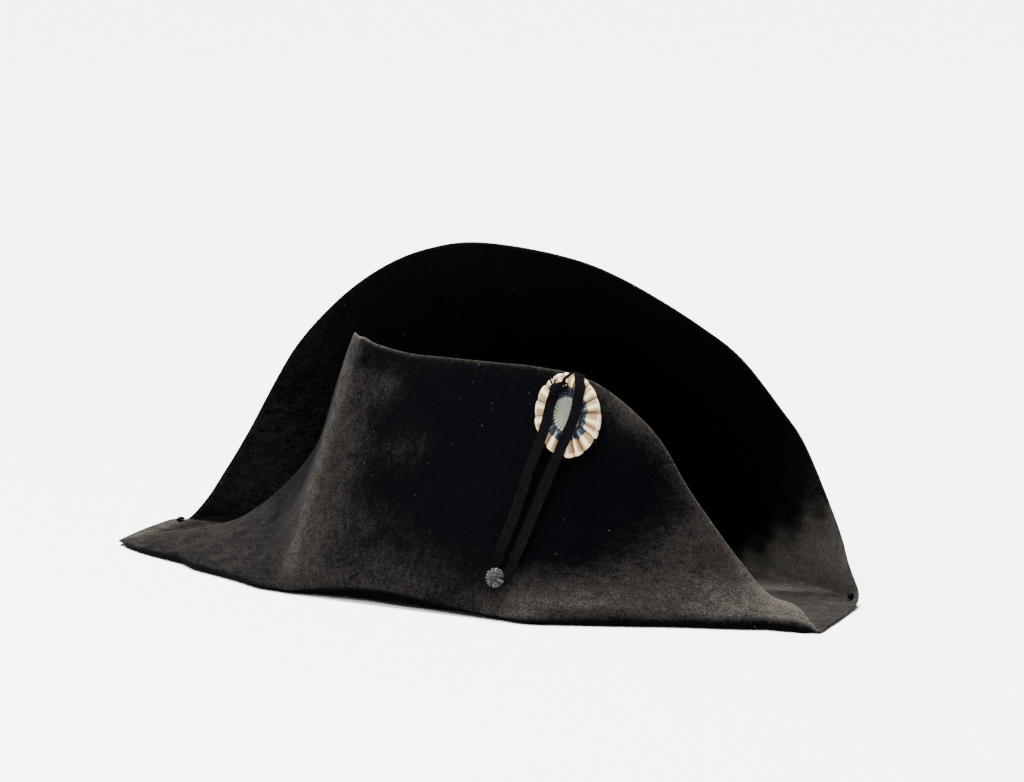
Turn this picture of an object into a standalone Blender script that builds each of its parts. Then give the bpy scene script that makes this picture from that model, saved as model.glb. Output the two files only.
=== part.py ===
"""A black felt bicorne with a cockade, a loop of tape and a thread button.

Metres, +Z up. The hat rests on its base at z = 0. X runs from corner to corner,
the low front flap with the cockade faces -Y, and the tall rear flap faces +Y.
The felt is one wall: crown, head opening, floor, the folds and both flaps are
worked out station by station round the hat, from the table BRIM.
"""
import math

import bmesh
import bpy
import numpy as np
from mathutils import Vector
from mathutils.bvhtree import BVHTree

# Driving sizes of the felt
HALF_LENGTH = 0.240
HALF_DEPTH = 0.1045
FRONT_HEIGHT = 0.151
REAR_HEIGHT = 0.2005
CROWN_HEIGHT = 0.112
HEAD_HALF_WIDTH = 0.080
FRONT_LEDGE = 0.0105
CROWN_ROOM = 0.0022
ARCH = 0.0085
FELT = 0.0022
FOLD_RADIUS = 0.0028
HEAD_RADIUS = 0.0035
FOLD_SHARE = 0.30

# Driving sizes of the trimmings
SEAT = 0.0003
COCKADE_WIDTH = 0.038
COCKADE_LENGTH = 0.050
COCKADE_THICKNESS = 0.0021
PLEAT_RISE = 0.0008
PLEATS = 28
TAPE_WIDTH = 0.0062
TAPE_THICKNESS = 0.0009
TAPE_TAIL = 0.012
TAPE_STEP = 0.005
BUTTON_RADIUS = 0.0055
BUTTON_RISE = 0.0036
SHANK_RADIUS = 0.0008
KNOT_SIZE = (0.0084, 0.0060, 0.0026)
TACK_SIZE = (0.0066, 0.0026, 0.0022)
LOOK = 0.020

# Places of the trimmings: share of HALF_LENGTH, then of the height or of HALF_DEPTH
COCKADE_AT = (0.3665, 0.768)
COCKADE_TILT = math.radians(9.0)
BUTTON_AT = (0.255, 0.154)
TAPE_CROSSING = 34.4
TAPE_LEFT = ((0.333, 0.868), (0.327, 0.800), (0.320, 0.695), (0.296, 0.509), (0.2815, 0.386),
             (0.2575, 0.261), (0.243, 0.200))
TAPE_RIGHT = ((0.387, 0.868), (0.386, 0.762), (0.368, 0.638), (0.3475, 0.515), (0.329, 0.392),
              (0.303, 0.269), (0.278, 0.205))
LEFT_TACK_AT = (-0.981, 0.222)
RIGHT_TACK_AT = (0.983, 0.226)

# Fineness of the facets
STATIONS = 107
HEAD_STEPS = 2
FLOOR_STEPS = 2
FOLD_STEPS = 3
FLAP_STEPS = 6

# The crown's wall: its reach as share of the head opening's, its height as share of the crown's
CROWN = ((0.24, 0.980), (0.45, 0.915), (0.625, 0.800), (0.740, 0.640), (0.825, 0.460), (0.910, 0.240))

# Round the hat, one row for each named section of the brim.
# at: station; head: direction of the head opening's point, degrees from +X
# fold_x, fold_y: where floor and flap meet, shares of HALF_LENGTH and HALF_DEPTH
# lift: the fold's height over the ground, share of ARCH
# edge_x: the cut edge, share of HALF_LENGTH; lean: inward slope of the flap, run over rise
# edge_z: the cut edge's height, share of the flap's height
# hollow: how far the flap is pushed in between fold and edge, share of its width
BRIM_COLUMNS = ("at", "head", "fold_x", "fold_y", "lift", "edge_x", "lean", "edge_z", "hollow")
FRONT_FLAP = (
    (0, 194, -0.969, -0.392, 0.00, -0.992, -1.20, 0.020, 0.00),
    (2, 197, -0.955, -0.478, 0.00, -0.957, 1.23, 0.037, 0.00),
    (4, 201, -0.892, -0.600, 0.00, -0.866, 2.24, 0.070, 0.00),
    (6, 207, -0.808, -0.728, 0.00, -0.767, 3.15, 0.096, -0.02),
    (8, 213, -0.710, -0.842, 0.00, -0.648, 2.64, 0.157, 0.00),
    (10, 219, -0.595, -0.888, 0.00, -0.513, 1.42, 0.329, 0.04),
    (12, 226, -0.490, -0.951, 0.00, -0.409, 0.930, 0.536, 0.06),
    (14, 234, -0.413, -0.996, 0.00, -0.329, 0.575, 0.808, 0.04),
    (16, 241, -0.352, -1.000, 0.03, -0.264, 0.400, 0.977, 0.01),
    (17, 244, -0.325, -1.006, 0.06, -0.241, 0.368, 1.000, 0.00),
    (19, 250, -0.258, -1.000, 0.32, -0.183, 0.369, 0.968, 0.00),
    (21, 258, -0.167, -1.000, 0.80, -0.100, 0.379, 0.944, 0.00),
    (24, 267, -0.042, -1.000, 1.00, 0.000, 0.381, 0.939, 0.00),
    (28, 280, 0.117, -1.000, 0.55, 0.150, 0.382, 0.936, 0.00),
    (32, 293, 0.267, -1.000, 0.10, 0.275, 0.388, 0.931, 0.00),
    (34, 303, 0.350, -1.005, 0.00, 0.362, 0.410, 0.914, 0.00),
    (36, 313, 0.446, -0.922, 0.00, 0.448, 0.397, 0.857, 0.00),
    (38, 322, 0.568, -0.812, 0.00, 0.556, 0.404, 0.718, 0.03),
    (41, 330, 0.695, -0.695, 0.00, 0.667, 0.498, 0.460, 0.06),
    (43, 337, 0.808, -0.615, 0.00, 0.771, 0.744, 0.252, 0.05),
    (45, 342, 0.893, -0.558, 0.00, 0.858, 1.290, 0.114, 0.02),
    (47, 346, 0.957, -0.510, 0.00, 0.941, 1.14, 0.081, 0.00),
    (49, 349, 0.987, -0.430, 0.00, 1.006, -1.00, 0.015, 0.00),
)
RIGHT_END = (
    (51, 356, 0.979, -0.255, 0.00, 1.010, 0.00, 0.014, 0.00),
    (54, 366, 0.973, 0.038, 0.00, 1.006, 0.00, 0.016, 0.00),
    (56, 371, 0.968, 0.205, 0.00, 1.000, 0.00, 0.032, 0.00),
)
REAR_FLAP = (
    (57, 374, 0.959, 0.275, 0.00, 0.990, 0.21, 0.047, 0.00),
    (58, 377, 0.935, 0.340, 0.00, 0.967, 0.36, 0.105, 0.00),
    (60, 384, 0.855, 0.435, 0.00, 0.926, 0.29, 0.222, -0.01),
    (62, 391, 0.768, 0.531, 0.00, 0.829, 0.19, 0.444, -0.02),
    (64, 398, 0.667, 0.636, 0.00, 0.750, 0.197, 0.546, -0.03),
    (66, 403, 0.588, 0.722, 0.00, 0.640, 0.222, 0.691, -0.03),
    (68, 408, 0.500, 0.823, 0.00, 0.531, 0.275, 0.780, -0.03),
    (71, 418, 0.350, 0.981, 0.00, 0.320, 0.358, 0.914, -0.02),
    (74, 430, 0.192, 1.000, 0.30, 0.160, 0.379, 0.975, -0.02),
    (77, 448, 0.000, 1.000, 0.60, -0.058, 0.384, 1.000, -0.02),
    (80, 466, -0.192, 1.000, 0.30, -0.217, 0.374, 0.968, -0.02),
    (83, 480, -0.350, 0.981, 0.00, -0.365, 0.362, 0.897, -0.02),
    (86, 492, -0.500, 0.828, 0.00, -0.514, 0.282, 0.779, -0.03),
    (89, 502, -0.650, 0.670, 0.00, -0.660, 0.206, 0.606, -0.03),
    (91, 507, -0.721, 0.598, 0.00, -0.727, 0.182, 0.484, -0.02),
    (93, 513, -0.800, 0.517, 0.00, -0.794, 0.161, 0.341, -0.02),
    (96, 521, -0.896, 0.426, 0.00, -0.872, 0.227, 0.176, 0.00),
    (98, 526, -0.942, 0.365, 0.00, -0.940, 0.32, 0.060, 0.00),
)
LEFT_END = (
    (99, 529, -0.962, 0.300, 0.00, -0.977, 0.00, 0.017, 0.00),
    (100, 533, -0.967, 0.230, 0.00, -0.998, 0.00, 0.022, 0.00),
    (102, 540, -0.967, 0.029, 0.00, -1.004, 0.00, 0.024, 0.00),
    (105, 549, -0.967, -0.239, 0.00, -1.006, 0.00, 0.018, 0.00),
)


def closed_curve(at, knots, values, period):
    """Reads the smooth closed curve through (knots, values) at each place in at."""
    xs = np.concatenate([knots[-2:] - period, knots, knots[:3] + period])
    ys = np.concatenate([values[-2:], values, values[:3]])
    step = np.diff(xs)
    rise = np.diff(ys) / step
    slope = np.empty_like(ys)
    slope[1:-1] = (step[1:] * rise[:-1] + step[:-1] * rise[1:]) / (step[:-1] + step[1:])
    slope[0], slope[-1] = rise[0], rise[-1]
    i = np.clip(np.searchsorted(xs, at, side="right") - 1, 0, len(step) - 1)
    t = (at - xs[i]) / step[i]
    square, cube = t * t, t ** 3
    return ((2 * cube - 3 * square + 1) * ys[i] + (cube - 2 * square + t) * step[i] * slope[i]
            + (3 * square - 2 * cube) * ys[i + 1] + (cube - square) * step[i] * slope[i + 1])


def open_curve(points, spacing):
    """Samples a smooth curve through the points about every spacing."""
    pts = np.array(points, float)
    padded = np.vstack([2 * pts[0] - pts[1], pts, 2 * pts[-1] - pts[-2]])
    out = []
    for i in range(len(pts) - 1):
        a, b, c, d = padded[i:i + 4]
        steps = max(1, round(float(np.linalg.norm(c - b)) / spacing))
        for k in range(steps):
            t = k / steps
            out.append(0.5 * (2 * b + (c - a) * t + (2 * a - 5 * b + 4 * c - d) * t ** 2
                              + (3 * b - a - 3 * c + d) * t ** 3))
    out.append(pts[-1])
    return out


def unit(v):
    """The vector's direction."""
    return v / np.linalg.norm(v)


def brim_values(at):
    """The brim table's columns at the given stations, as sizes in metres."""
    rows = FRONT_FLAP + RIGHT_END + REAR_FLAP + LEFT_END
    table = {name: np.array([row[i] for row in rows], float) for i, name in enumerate(BRIM_COLUMNS)}
    knots = table["at"]
    rear_start = REAR_FLAP[0][0]
    rear_end = REAR_FLAP[-1][0]
    turn = 360.0 / STATIONS
    table["head"] = table["head"] - knots * turn
    table["height"] = np.where((knots >= rear_start) & (knots <= rear_end), REAR_HEIGHT, FRONT_HEIGHT)
    edge_z = table["edge_z"] * table["height"]
    side = np.sign(table["fold_y"])
    table["edge_z"] = edge_z
    table["edge_y"] = table["fold_y"] * HALF_DEPTH - side * table["lean"] * edge_z
    read = {name: closed_curve(at, knots, table[name], STATIONS) for name in table if name != "at"}
    read["head"] = np.radians(read["head"] + at * turn)
    return read


def rounded_corner(corner, to_a, to_b, reach, steps):
    """Points of the arc that rounds a corner, tangent to both sides at reach from it."""
    half = 0.5 * math.acos(max(-1.0, min(1.0, float(to_a @ to_b))))
    start, end, weight = corner + to_a * reach, corner + to_b * reach, math.sin(half)
    points = []
    for k in range(steps + 1):
        t = k / steps
        a, b, c = (1 - t) ** 2, 2 * t * (1 - t) * weight, t * t
        points.append((a * start + b * corner + c * end) / (a + b + c))
    return points


def fillet_reach(to_a, to_b, radius, limit):
    """Distance from a corner at which an arc of this radius meets its sides."""
    half = 0.5 * math.acos(max(-1.0, min(1.0, float(to_a @ to_b))))
    flat_reach = 0.85 * radius
    reach = max(radius / math.tan(max(half, 0.05)), flat_reach)
    return min(reach, limit)


def fold_run(at):
    """Direction in which the fold runs round the hat at each station."""
    ahead, behind = brim_values(at + 1.0), brim_values(at - 1.0)
    run = np.stack([(ahead["fold_x"] - behind["fold_x"]) * HALF_LENGTH,
                    (ahead["fold_y"] - behind["fold_y"]) * HALF_DEPTH, np.zeros(len(at))], axis=1)
    return run / np.linalg.norm(run, axis=1, keepdims=True)


def sections(at):
    """Middle line of the felt at each station, from the crown's top down, out and up to the edge."""
    read, runs = brim_values(at), fold_run(at)
    head_half_length = HALF_DEPTH - FRONT_LEDGE
    ground = FELT / 2
    lines = []
    for i, run in enumerate(runs):
        lift = max(0.0, read["lift"][i]) * ARCH
        angle = read["head"][i]
        head = np.array([HEAD_HALF_WIDTH * math.cos(angle), head_half_length * math.sin(angle),
                         ground + 0.8 * lift])
        fold = np.array([read["fold_x"][i] * HALF_LENGTH, read["fold_y"][i] * HALF_DEPTH, ground + lift])
        edge = np.array([read["edge_x"][i] * HALF_LENGTH, read["edge_y"][i],
                         max(read["edge_z"][i], ground)])
        chord = edge - fold
        width = float(np.linalg.norm(chord))
        inward = unit(np.array([head[0] - fold[0], head[1] - fold[1], 0.0]))
        push = unit(inward - unit(chord) * float(inward @ unit(chord)))
        depth = read["hollow"][i] * width

        def flap(t):
            return fold + chord * t + push * depth * math.sin(math.pi * t ** 0.9)

        line = []
        for share, high in CROWN:
            z = head[2] + (CROWN_HEIGHT - ground - head[2]) * high
            reach = share * float(np.linalg.norm(head[:2]))
            if z < edge[2]:
                wall = flap((z - fold[2]) / (edge[2] - fold[2]))
                reach = min(reach, float(np.linalg.norm(wall[:2])) - FELT - CROWN_ROOM)
            line.append(np.array([*(unit(head[:2]) * reach), z]))
        floor_span = float(np.linalg.norm(fold - head))
        up, out = unit(line[-1] - head), unit(fold - head)
        head_reach = fillet_reach(up, out, HEAD_RADIUS, 0.4 * floor_span)
        line += rounded_corner(head, up, out, head_reach, HEAD_STEPS)
        square_in = unit(inward - run * float(inward @ run))
        start = flap(0.03) - fold
        start = unit(start - run * float(start @ run))
        fold_reach = fillet_reach(square_in, start, FOLD_RADIUS, FOLD_SHARE * width)
        turn = rounded_corner(fold, square_in, start, fold_reach, FOLD_STEPS)
        floor_start = line[-1]
        line += [floor_start + (turn[0] - floor_start) * k / FLOOR_STEPS for k in range(1, FLOOR_STEPS)]
        line += turn
        first = fold_reach / width
        slip = turn[-1] - flap(first)
        for k in range(1, FLAP_STEPS + 1):
            share = k / FLAP_STEPS
            line.append(flap(first + (1 - first) * share) + slip * (1 - share) ** 2)
        lines.append(line)
    return np.array(lines)


def felt_faces(grid, top):
    """Both faces of the felt, half its thickness to each side of the middle surface."""
    ahead = np.roll(grid, -1, 0) - grid
    ahead /= np.linalg.norm(ahead, axis=2, keepdims=True)
    round_hat = ahead + np.roll(ahead, 1, 0)
    step = np.diff(grid, axis=1)
    step /= np.linalg.norm(step, axis=2, keepdims=True)
    down_line = np.empty_like(grid)
    down_line[:, 1:-1] = step[:, 1:] + step[:, :-1]
    down_line[:, 0] = step[:, 0]
    down_line[:, -1] = step[:, -1]
    normal = np.cross(down_line, round_hat)
    normal /= np.linalg.norm(normal, axis=2, keepdims=True)
    return grid + normal * FELT / 2, grid - normal * FELT / 2


def felt_mesh():
    """Vertices and faces of the hat's one piece of felt."""
    grid = sections(np.arange(STATIONS, dtype=float))
    top = np.array([0.0, 0.0, CROWN_HEIGHT - FELT / 2])
    face_a, face_b = felt_faces(grid, top)
    count, rows, _ = grid.shape
    verts = [tuple(p) for p in face_a.reshape(-1, 3)] + [tuple(p) for p in face_b.reshape(-1, 3)]
    lift = 1.0 if face_a[0, 0, 2] > face_b[0, 0, 2] else -1.0
    verts += [tuple(top + [0, 0, lift * FELT / 2]), tuple(top - [0, 0, lift * FELT / 2])]
    faces = []
    for side in (0, 1):
        base = side * count * rows
        for s in range(count):
            here, there = base + s * rows, base + (s + 1) % count * rows
            faces.append((2 * count * rows + side, here, there))
            for r in range(rows - 1):
                faces.append((here + r, there + r, there + r + 1, here + r + 1))
    for s in range(count):
        here, there = s * rows + rows - 1, (s + 1) % count * rows + rows - 1
        faces.append((here, there, there + count * rows, here + count * rows))
    return verts, faces


def make_object(name, verts, faces, material, sharp_degrees=35.0):
    """One closed solid as an object, its faces pointing out."""
    bm = bmesh.new()
    made = [bm.verts.new(v) for v in verts]
    for face in faces:
        bm.faces.new([made[i] for i in face])
    bmesh.ops.recalc_face_normals(bm, faces=bm.faces)
    bmesh.ops.triangulate(bm, faces=bm.faces)
    mesh = bpy.data.meshes.new(name)
    bm.to_mesh(mesh)
    bm.free()
    mesh.shade_smooth()
    mesh.set_sharp_from_angle(angle=math.radians(sharp_degrees))
    mesh.materials.append(material)
    thing = bpy.data.objects.new(name, mesh)
    bpy.context.scene.collection.objects.link(thing)
    return thing


def material(name, colour, roughness, metallic=0.0):
    """A plain Principled material."""
    made = bpy.data.materials.new(name)
    made.use_nodes = True
    shader = made.node_tree.nodes["Principled BSDF"]
    shader.inputs["Base Color"].default_value = (*colour, 1.0)
    shader.inputs["Roughness"].default_value = roughness
    shader.inputs["Metallic"].default_value = metallic
    return made


def surface_of(thing):
    """A search tree of an object's faces."""
    mesh = thing.data
    corners = [tuple(p.vertices) for p in mesh.polygons]
    return BVHTree.FromPolygons([v.co.copy() for v in mesh.vertices], corners)


class FrontSeat:
    """Finds the front flap's outer face, and how far other pieces stand out of it."""

    def __init__(self, felt):
        self.felt = surface_of(felt)
        self.stacked = []

    def point(self, x, z):
        """Place and outward direction on the felt straight behind (x, z)."""
        hit, normal, _, _ = self.felt.ray_cast(Vector((x, -2 * HALF_DEPTH, z)), Vector((0, 1, 0)))
        if hit is None:
            raise ValueError("no felt behind this place")
        if normal.y > 0:
            normal = -normal
        return np.array(hit), np.array(normal)

    def rise(self, place, normal):
        """Height over the felt of the pieces already seated there."""
        start = Vector(place + normal * LOOK)
        best = 0.0
        for tree in self.stacked:
            hit, _, _, distance = tree.ray_cast(start, Vector(-normal), LOOK)
            if hit is not None:
                best = max(best, LOOK - distance)
        return best


def local_axes(normal, tilt):
    """Sideways and upward directions in the face, turned by tilt."""
    side = unit(np.cross(np.array([0.0, 0.0, 1.0]), normal))
    up = unit(np.cross(normal, side))
    return (side * math.cos(tilt) + up * math.sin(tilt), up * math.cos(tilt) - side * math.sin(tilt))


def build_cockade(seat, finish):
    """Oval rosette of gathered ribbon: pleated rings on a flat back that follows the felt."""
    centre, normal = seat.point(COCKADE_AT[0] * HALF_LENGTH, COCKADE_AT[1] * FRONT_HEIGHT)
    side, up = local_axes(normal, COCKADE_TILT)
    radii = (0.14, 0.41, 0.66, 0.95, 1.0)
    dome = (0.95, 1.0, 1.0, 0.9, 0.45)
    spokes = 2 * PLEATS
    back, front = [], []
    for share, fullness in zip(radii, dome):
        for k in range(spokes):
            angle = 2 * math.pi * k / spokes
            flat = (centre + side * math.cos(angle) * share * COCKADE_WIDTH / 2
                    + up * math.sin(angle) * share * COCKADE_LENGTH / 2)
            hit, _, _, distance = seat.felt.ray_cast(Vector(flat + normal * LOOK), Vector(-normal), 2 * LOOK)
            drop = LOOK if hit is None else distance
            base = flat + normal * (LOOK - drop + SEAT)
            pleat = PLEAT_RISE * share * (1.0 if k % 2 else 0.0)
            back.append(base)
            front.append(base + normal * (COCKADE_THICKNESS * fullness + pleat * fullness))
    rings = len(radii)
    middle = centre + normal * SEAT
    verts = [tuple(p) for p in back + front]
    verts += [tuple(middle), tuple(middle + normal * COCKADE_THICKNESS * dome[0])]
    faces = []
    for base, hub in ((0, 2 * rings * spokes), (rings * spokes, 2 * rings * spokes + 1)):
        for k in range(spokes):
            n = (k + 1) % spokes
            faces.append((hub, base + k, base + n))
            for r in range(rings - 1):
                a, b = base + r * spokes, base + (r + 1) * spokes
                faces.append((a + k, b + k, b + n, a + n))
    rim = (rings - 1) * spokes
    for k in range(spokes):
        n = (k + 1) % spokes
        faces.append((rim + k, rim + n, rim + n + rings * spokes, rim + k + rings * spokes))
    return make_object("cockade", verts, faces, finish)


def tape_route(seat):
    """The tape's route on the felt: down the left run, round the button's shank and up the right run."""
    bx, bz = BUTTON_AT[0] * HALF_LENGTH, BUTTON_AT[1] * FRONT_HEIGHT
    bend = TAPE_WIDTH / 2 + SHANK_RADIUS + SEAT
    turn_steps = 8
    turn = []
    for k in range(turn_steps + 1):
        angle = math.pi * (1 + k / turn_steps)
        turn.append(np.array([bx + bend * math.cos(angle), bz + bend * math.sin(angle)]))
    left = [(x * HALF_LENGTH, z * FRONT_HEIGHT) for x, z in TAPE_LEFT] + [tuple(turn[0])]
    right = [tuple(turn[-1])] + [(x * HALF_LENGTH, z * FRONT_HEIGHT) for x, z in reversed(TAPE_RIGHT)]
    flat = open_curve(left, TAPE_STEP)[:-1] + turn + open_curve(right, TAPE_STEP)[1:]
    return [seat.point(x, z) for x, z in flat]


def tape_over_edge():
    """The tape's route over the flap's cut edge and a short way down inside, and the edge's run."""
    line = sections(np.array([TAPE_CROSSING - 0.2, TAPE_CROSSING, TAPE_CROSSING + 0.2]))
    rim = line[1, -1]
    along = unit(line[2, -1] - line[0, -1])
    rise = unit(line[1, -1] - line[1, -2])
    outward = unit(np.cross(rise, along))
    if outward[1] > 0:
        outward = -outward
    rise = unit(np.cross(along, outward))
    if rise[2] < 0:
        rise = -rise
    around = FELT / 2
    route = []
    for k in range(7):
        angle = math.pi * k / 6
        direction = outward * math.cos(angle) + rise * math.sin(angle)
        route.append((rim + direction * around, direction))
    for k in range(1, 4):
        route.append((rim - outward * around - rise * TAPE_TAIL * k / 3, -outward))
    return route, along


def ribbon(name, stations, width, thickness, finish):
    """A flat band: stations are (place under it, direction out of the seat, sideways, standoff)."""
    verts = []
    for place, out, side, stand in stations:
        for across, depth in ((-1, 0), (1, 0), (1, 1), (-1, 1)):
            verts.append(tuple(place + out * (stand + depth * thickness) + side * across * width / 2))
    faces = [(0, 1, 2, 3), tuple(len(verts) - 4 + i for i in (3, 2, 1, 0))]
    for s in range(len(stations) - 1):
        for i in range(4):
            j = (i + 1) % 4
            faces.append((4 * s + i, 4 * s + j, 4 * s + 4 + j, 4 * s + 4 + i))
    return make_object(name, verts, faces, finish)


def pulled_tight(heights):
    """Heights of a tape drawn tight over the given heights: their upper hull."""
    hull = [0]
    for i in range(1, len(heights)):
        while len(hull) > 1:
            a, b = hull[-2:]
            if (heights[b] - heights[a]) * (i - a) > (heights[i] - heights[a]) * (b - a):
                break
            hull.pop()
        hull.append(i)
    return list(np.interp(range(len(heights)), hull, [heights[i] for i in hull]))


def build_tape(seat, finish):
    """One tape: two runs from the cockade to the button, the right one over the flap's edge."""
    route = tape_route(seat)
    places = [p for p, _ in route]
    over, across_edge = tape_over_edge()
    sides, rises = [], []
    for i, (place, normal) in enumerate(route):
        ahead, behind = places[min(i + 1, len(places) - 1)], places[max(i - 1, 0)]
        side = unit(np.cross(unit(ahead - behind), normal))
        sides.append(side)
        samples = [seat.rise(place + side * s * TAPE_WIDTH / 2 + unit(ahead - behind) * a, normal)
                   for s in (-1.0, -0.5, 0.0, 0.5, 1.0) for a in (-0.4 * TAPE_STEP, 0.0, 0.4 * TAPE_STEP)]
        rises.append(max(samples))
    rises = [max(rises[max(0, i - 1):i + 2]) for i in range(len(rises))]
    over_button = BUTTON_AT[1] * FRONT_HEIGHT + 1.6 * BUTTON_RADIUS
    high = [bool(place[2] > over_button) for place in places]
    down, up = high.index(False), len(high) - high[::-1].index(False)
    rises[:down + 1] = pulled_tight(rises[:down + 1])
    rises[up - 1:] = pulled_tight(rises[up - 1:])
    stations = [(place, normal, sides[i], rises[i] + SEAT * 1.5) for i, (place, normal) in enumerate(route)]
    last_side = stations[-1][2]
    across_edge = across_edge * (1 if across_edge @ last_side > 0 else -1)
    first_stand = stations[-1][3]
    for k, (place, out) in enumerate(over):
        stand = max(SEAT * 1.5, first_stand * (1 - k / 6))
        stations.append((place, out, across_edge, stand))
    return ribbon("loop_tape", stations, TAPE_WIDTH, TAPE_THICKNESS, finish)


def build_button(seat, finish):
    """Thread-covered dome on a thin shank that the tape turns round."""
    centre, normal = seat.point(BUTTON_AT[0] * HALF_LENGTH, BUTTON_AT[1] * FRONT_HEIGHT)
    side, up = local_axes(normal, 0.0)
    foot = SEAT
    under = SEAT * 3 + TAPE_THICKNESS
    profile = [(SHANK_RADIUS, foot), (SHANK_RADIUS, under), (0.90 * BUTTON_RADIUS, under)]
    profile += [(r * BUTTON_RADIUS, under + h * BUTTON_RISE)
                for r, h in ((1.0, 0.20), (0.95, 0.50), (0.74, 0.80), (0.40, 0.96))]
    segments = 16
    verts = [tuple(centre + normal * foot)]
    for r, h in profile:
        for k in range(segments):
            angle = 2 * math.pi * k / segments
            verts.append(tuple(centre + normal * h + (side * math.cos(angle) + up * math.sin(angle)) * r))
    verts.append(tuple(centre + normal * (under + BUTTON_RISE)))
    faces = []
    for k in range(segments):
        n = (k + 1) % segments
        faces.append((0, 1 + n, 1 + k))
        for r in range(len(profile) - 1):
            a, b = 1 + r * segments, 1 + (r + 1) * segments
            faces.append((a + k, a + n, b + n, b + k))
        a = 1 + (len(profile) - 1) * segments
        faces.append((a + k, a + n, len(verts) - 1))
    return make_object("button", verts, faces, finish)


def lump(name, centre, axes, size, finish):
    """A small knot of thread: a waisted ball, longest along its first axis."""
    segments, rings = 12, 6
    half = [s / 2 for s in size]
    verts = [tuple(centre - axes[0] * half[0])]
    for r in range(1, rings):
        polar = math.pi * r / rings
        waist = 1.0 - 0.16 * math.exp(-((polar - math.pi / 2) / 0.35) ** 2)
        for k in range(segments):
            angle = 2 * math.pi * k / segments
            verts.append(tuple(centre - axes[0] * math.cos(polar) * half[0]
                               + axes[1] * math.sin(polar) * waist * math.cos(angle) * half[1]
                               + axes[2] * math.sin(polar) * waist * math.sin(angle) * half[2]))
    verts.append(tuple(centre + axes[0] * half[0]))
    faces = []
    for k in range(segments):
        n = (k + 1) % segments
        faces.append((0, 1 + n, 1 + k))
        for r in range(rings - 2):
            a, b = 1 + r * segments, 1 + (r + 1) * segments
            faces.append((a + k, a + n, b + n, b + k))
        a = 1 + (rings - 2) * segments
        faces.append((a + k, a + n, len(verts) - 1))
    return make_object(name, verts, faces, finish)


def build_knot(seat, finish):
    """Knot of thread that holds the tape's left end on the cockade."""
    x, z = TAPE_LEFT[0][0] * HALF_LENGTH, TAPE_LEFT[0][1] * FRONT_HEIGHT
    place, normal = seat.point(x, z)
    side, up = local_axes(normal, math.radians(20.0))
    reach = [seat.rise(place + side * a * KNOT_SIZE[0] / 2 + up * b * KNOT_SIZE[1] / 2, normal)
             for a in (-1, -0.5, 0, 0.5, 1) for b in (-1, 0, 1)]
    centre = place + normal * (max(reach) + SEAT + KNOT_SIZE[2] / 2)
    return lump("stitch_knot", centre, (side, up, normal), KNOT_SIZE, finish)


def build_corner_tack(name, felt, where, finish):
    """Thread tack on the rear end of a corner, lying on the felt's upper face."""
    x, y = where[0] * HALF_LENGTH, where[1] * HALF_DEPTH
    hit, normal, _, _ = felt.ray_cast(Vector((x, y, REAR_HEIGHT)), Vector((0, 0, -1)))
    if hit is None:
        raise ValueError("no felt under the corner tack")
    normal = np.array(normal if normal.z > 0 else -normal)
    along = unit(np.cross(normal, np.array([math.copysign(1.0, x), 0.0, 0.0])))
    across = unit(np.cross(normal, along))
    centre = np.array(hit) + normal * (SEAT + TACK_SIZE[2] / 2)
    return lump(name, centre, (along, across, normal), TACK_SIZE, finish)


def main():
    """Builds every piece of the hat."""
    for old in list(bpy.data.objects):
        bpy.data.objects.remove(old)
    felt = make_object("felt_body", *felt_mesh(), material("beaver_felt", (0.021, 0.019, 0.018), 0.92))
    seat = FrontSeat(felt)
    cockade = build_cockade(seat, material("pleated_silk", (0.62, 0.52, 0.40), 0.62))
    seat.stacked.append(surface_of(cockade))
    tape = build_tape(seat, material("twill_tape", (0.018, 0.018, 0.020), 0.80))
    build_button(seat, material("thread_button", (0.045, 0.045, 0.042), 0.85))
    seat.stacked.append(surface_of(tape))
    thread = material("black_thread", (0.014, 0.014, 0.015), 0.85)
    build_knot(seat, thread)
    build_corner_tack("corner_tack_left", seat.felt, LEFT_TACK_AT, thread.copy())
    build_corner_tack("corner_tack_right", seat.felt, RIGHT_TACK_AT, thread.copy())


main()
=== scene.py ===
"""Looks of the black felt bicorne: napped felt, silk cockade, twill tape and threads.

Metres, +Z up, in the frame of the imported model. The hat rests on z = 0, X runs from
corner to corner, and the front flap with the cockade faces -Y.
"""
import logging
import math
import random
from dataclasses import dataclass, field
from enum import Enum
from typing import Any, Optional, Sequence, Union

import bpy
import numpy as np
from mathutils import Matrix, Vector, noise
from mathutils.bvhtree import BVHTree


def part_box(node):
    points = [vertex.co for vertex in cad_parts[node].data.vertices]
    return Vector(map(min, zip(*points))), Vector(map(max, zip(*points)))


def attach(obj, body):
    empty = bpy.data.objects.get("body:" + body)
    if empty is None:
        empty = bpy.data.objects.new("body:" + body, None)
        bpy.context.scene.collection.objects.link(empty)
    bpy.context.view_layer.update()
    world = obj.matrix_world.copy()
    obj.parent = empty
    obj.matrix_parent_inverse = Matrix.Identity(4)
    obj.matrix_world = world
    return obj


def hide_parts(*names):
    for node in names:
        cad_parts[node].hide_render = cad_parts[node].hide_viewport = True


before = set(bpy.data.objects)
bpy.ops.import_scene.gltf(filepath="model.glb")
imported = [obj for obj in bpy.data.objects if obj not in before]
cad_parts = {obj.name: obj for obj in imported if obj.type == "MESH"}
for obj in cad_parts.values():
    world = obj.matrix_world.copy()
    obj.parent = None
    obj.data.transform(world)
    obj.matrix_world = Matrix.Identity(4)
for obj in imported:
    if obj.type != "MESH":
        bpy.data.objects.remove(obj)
log = logging.getLogger("bicorne")

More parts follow.
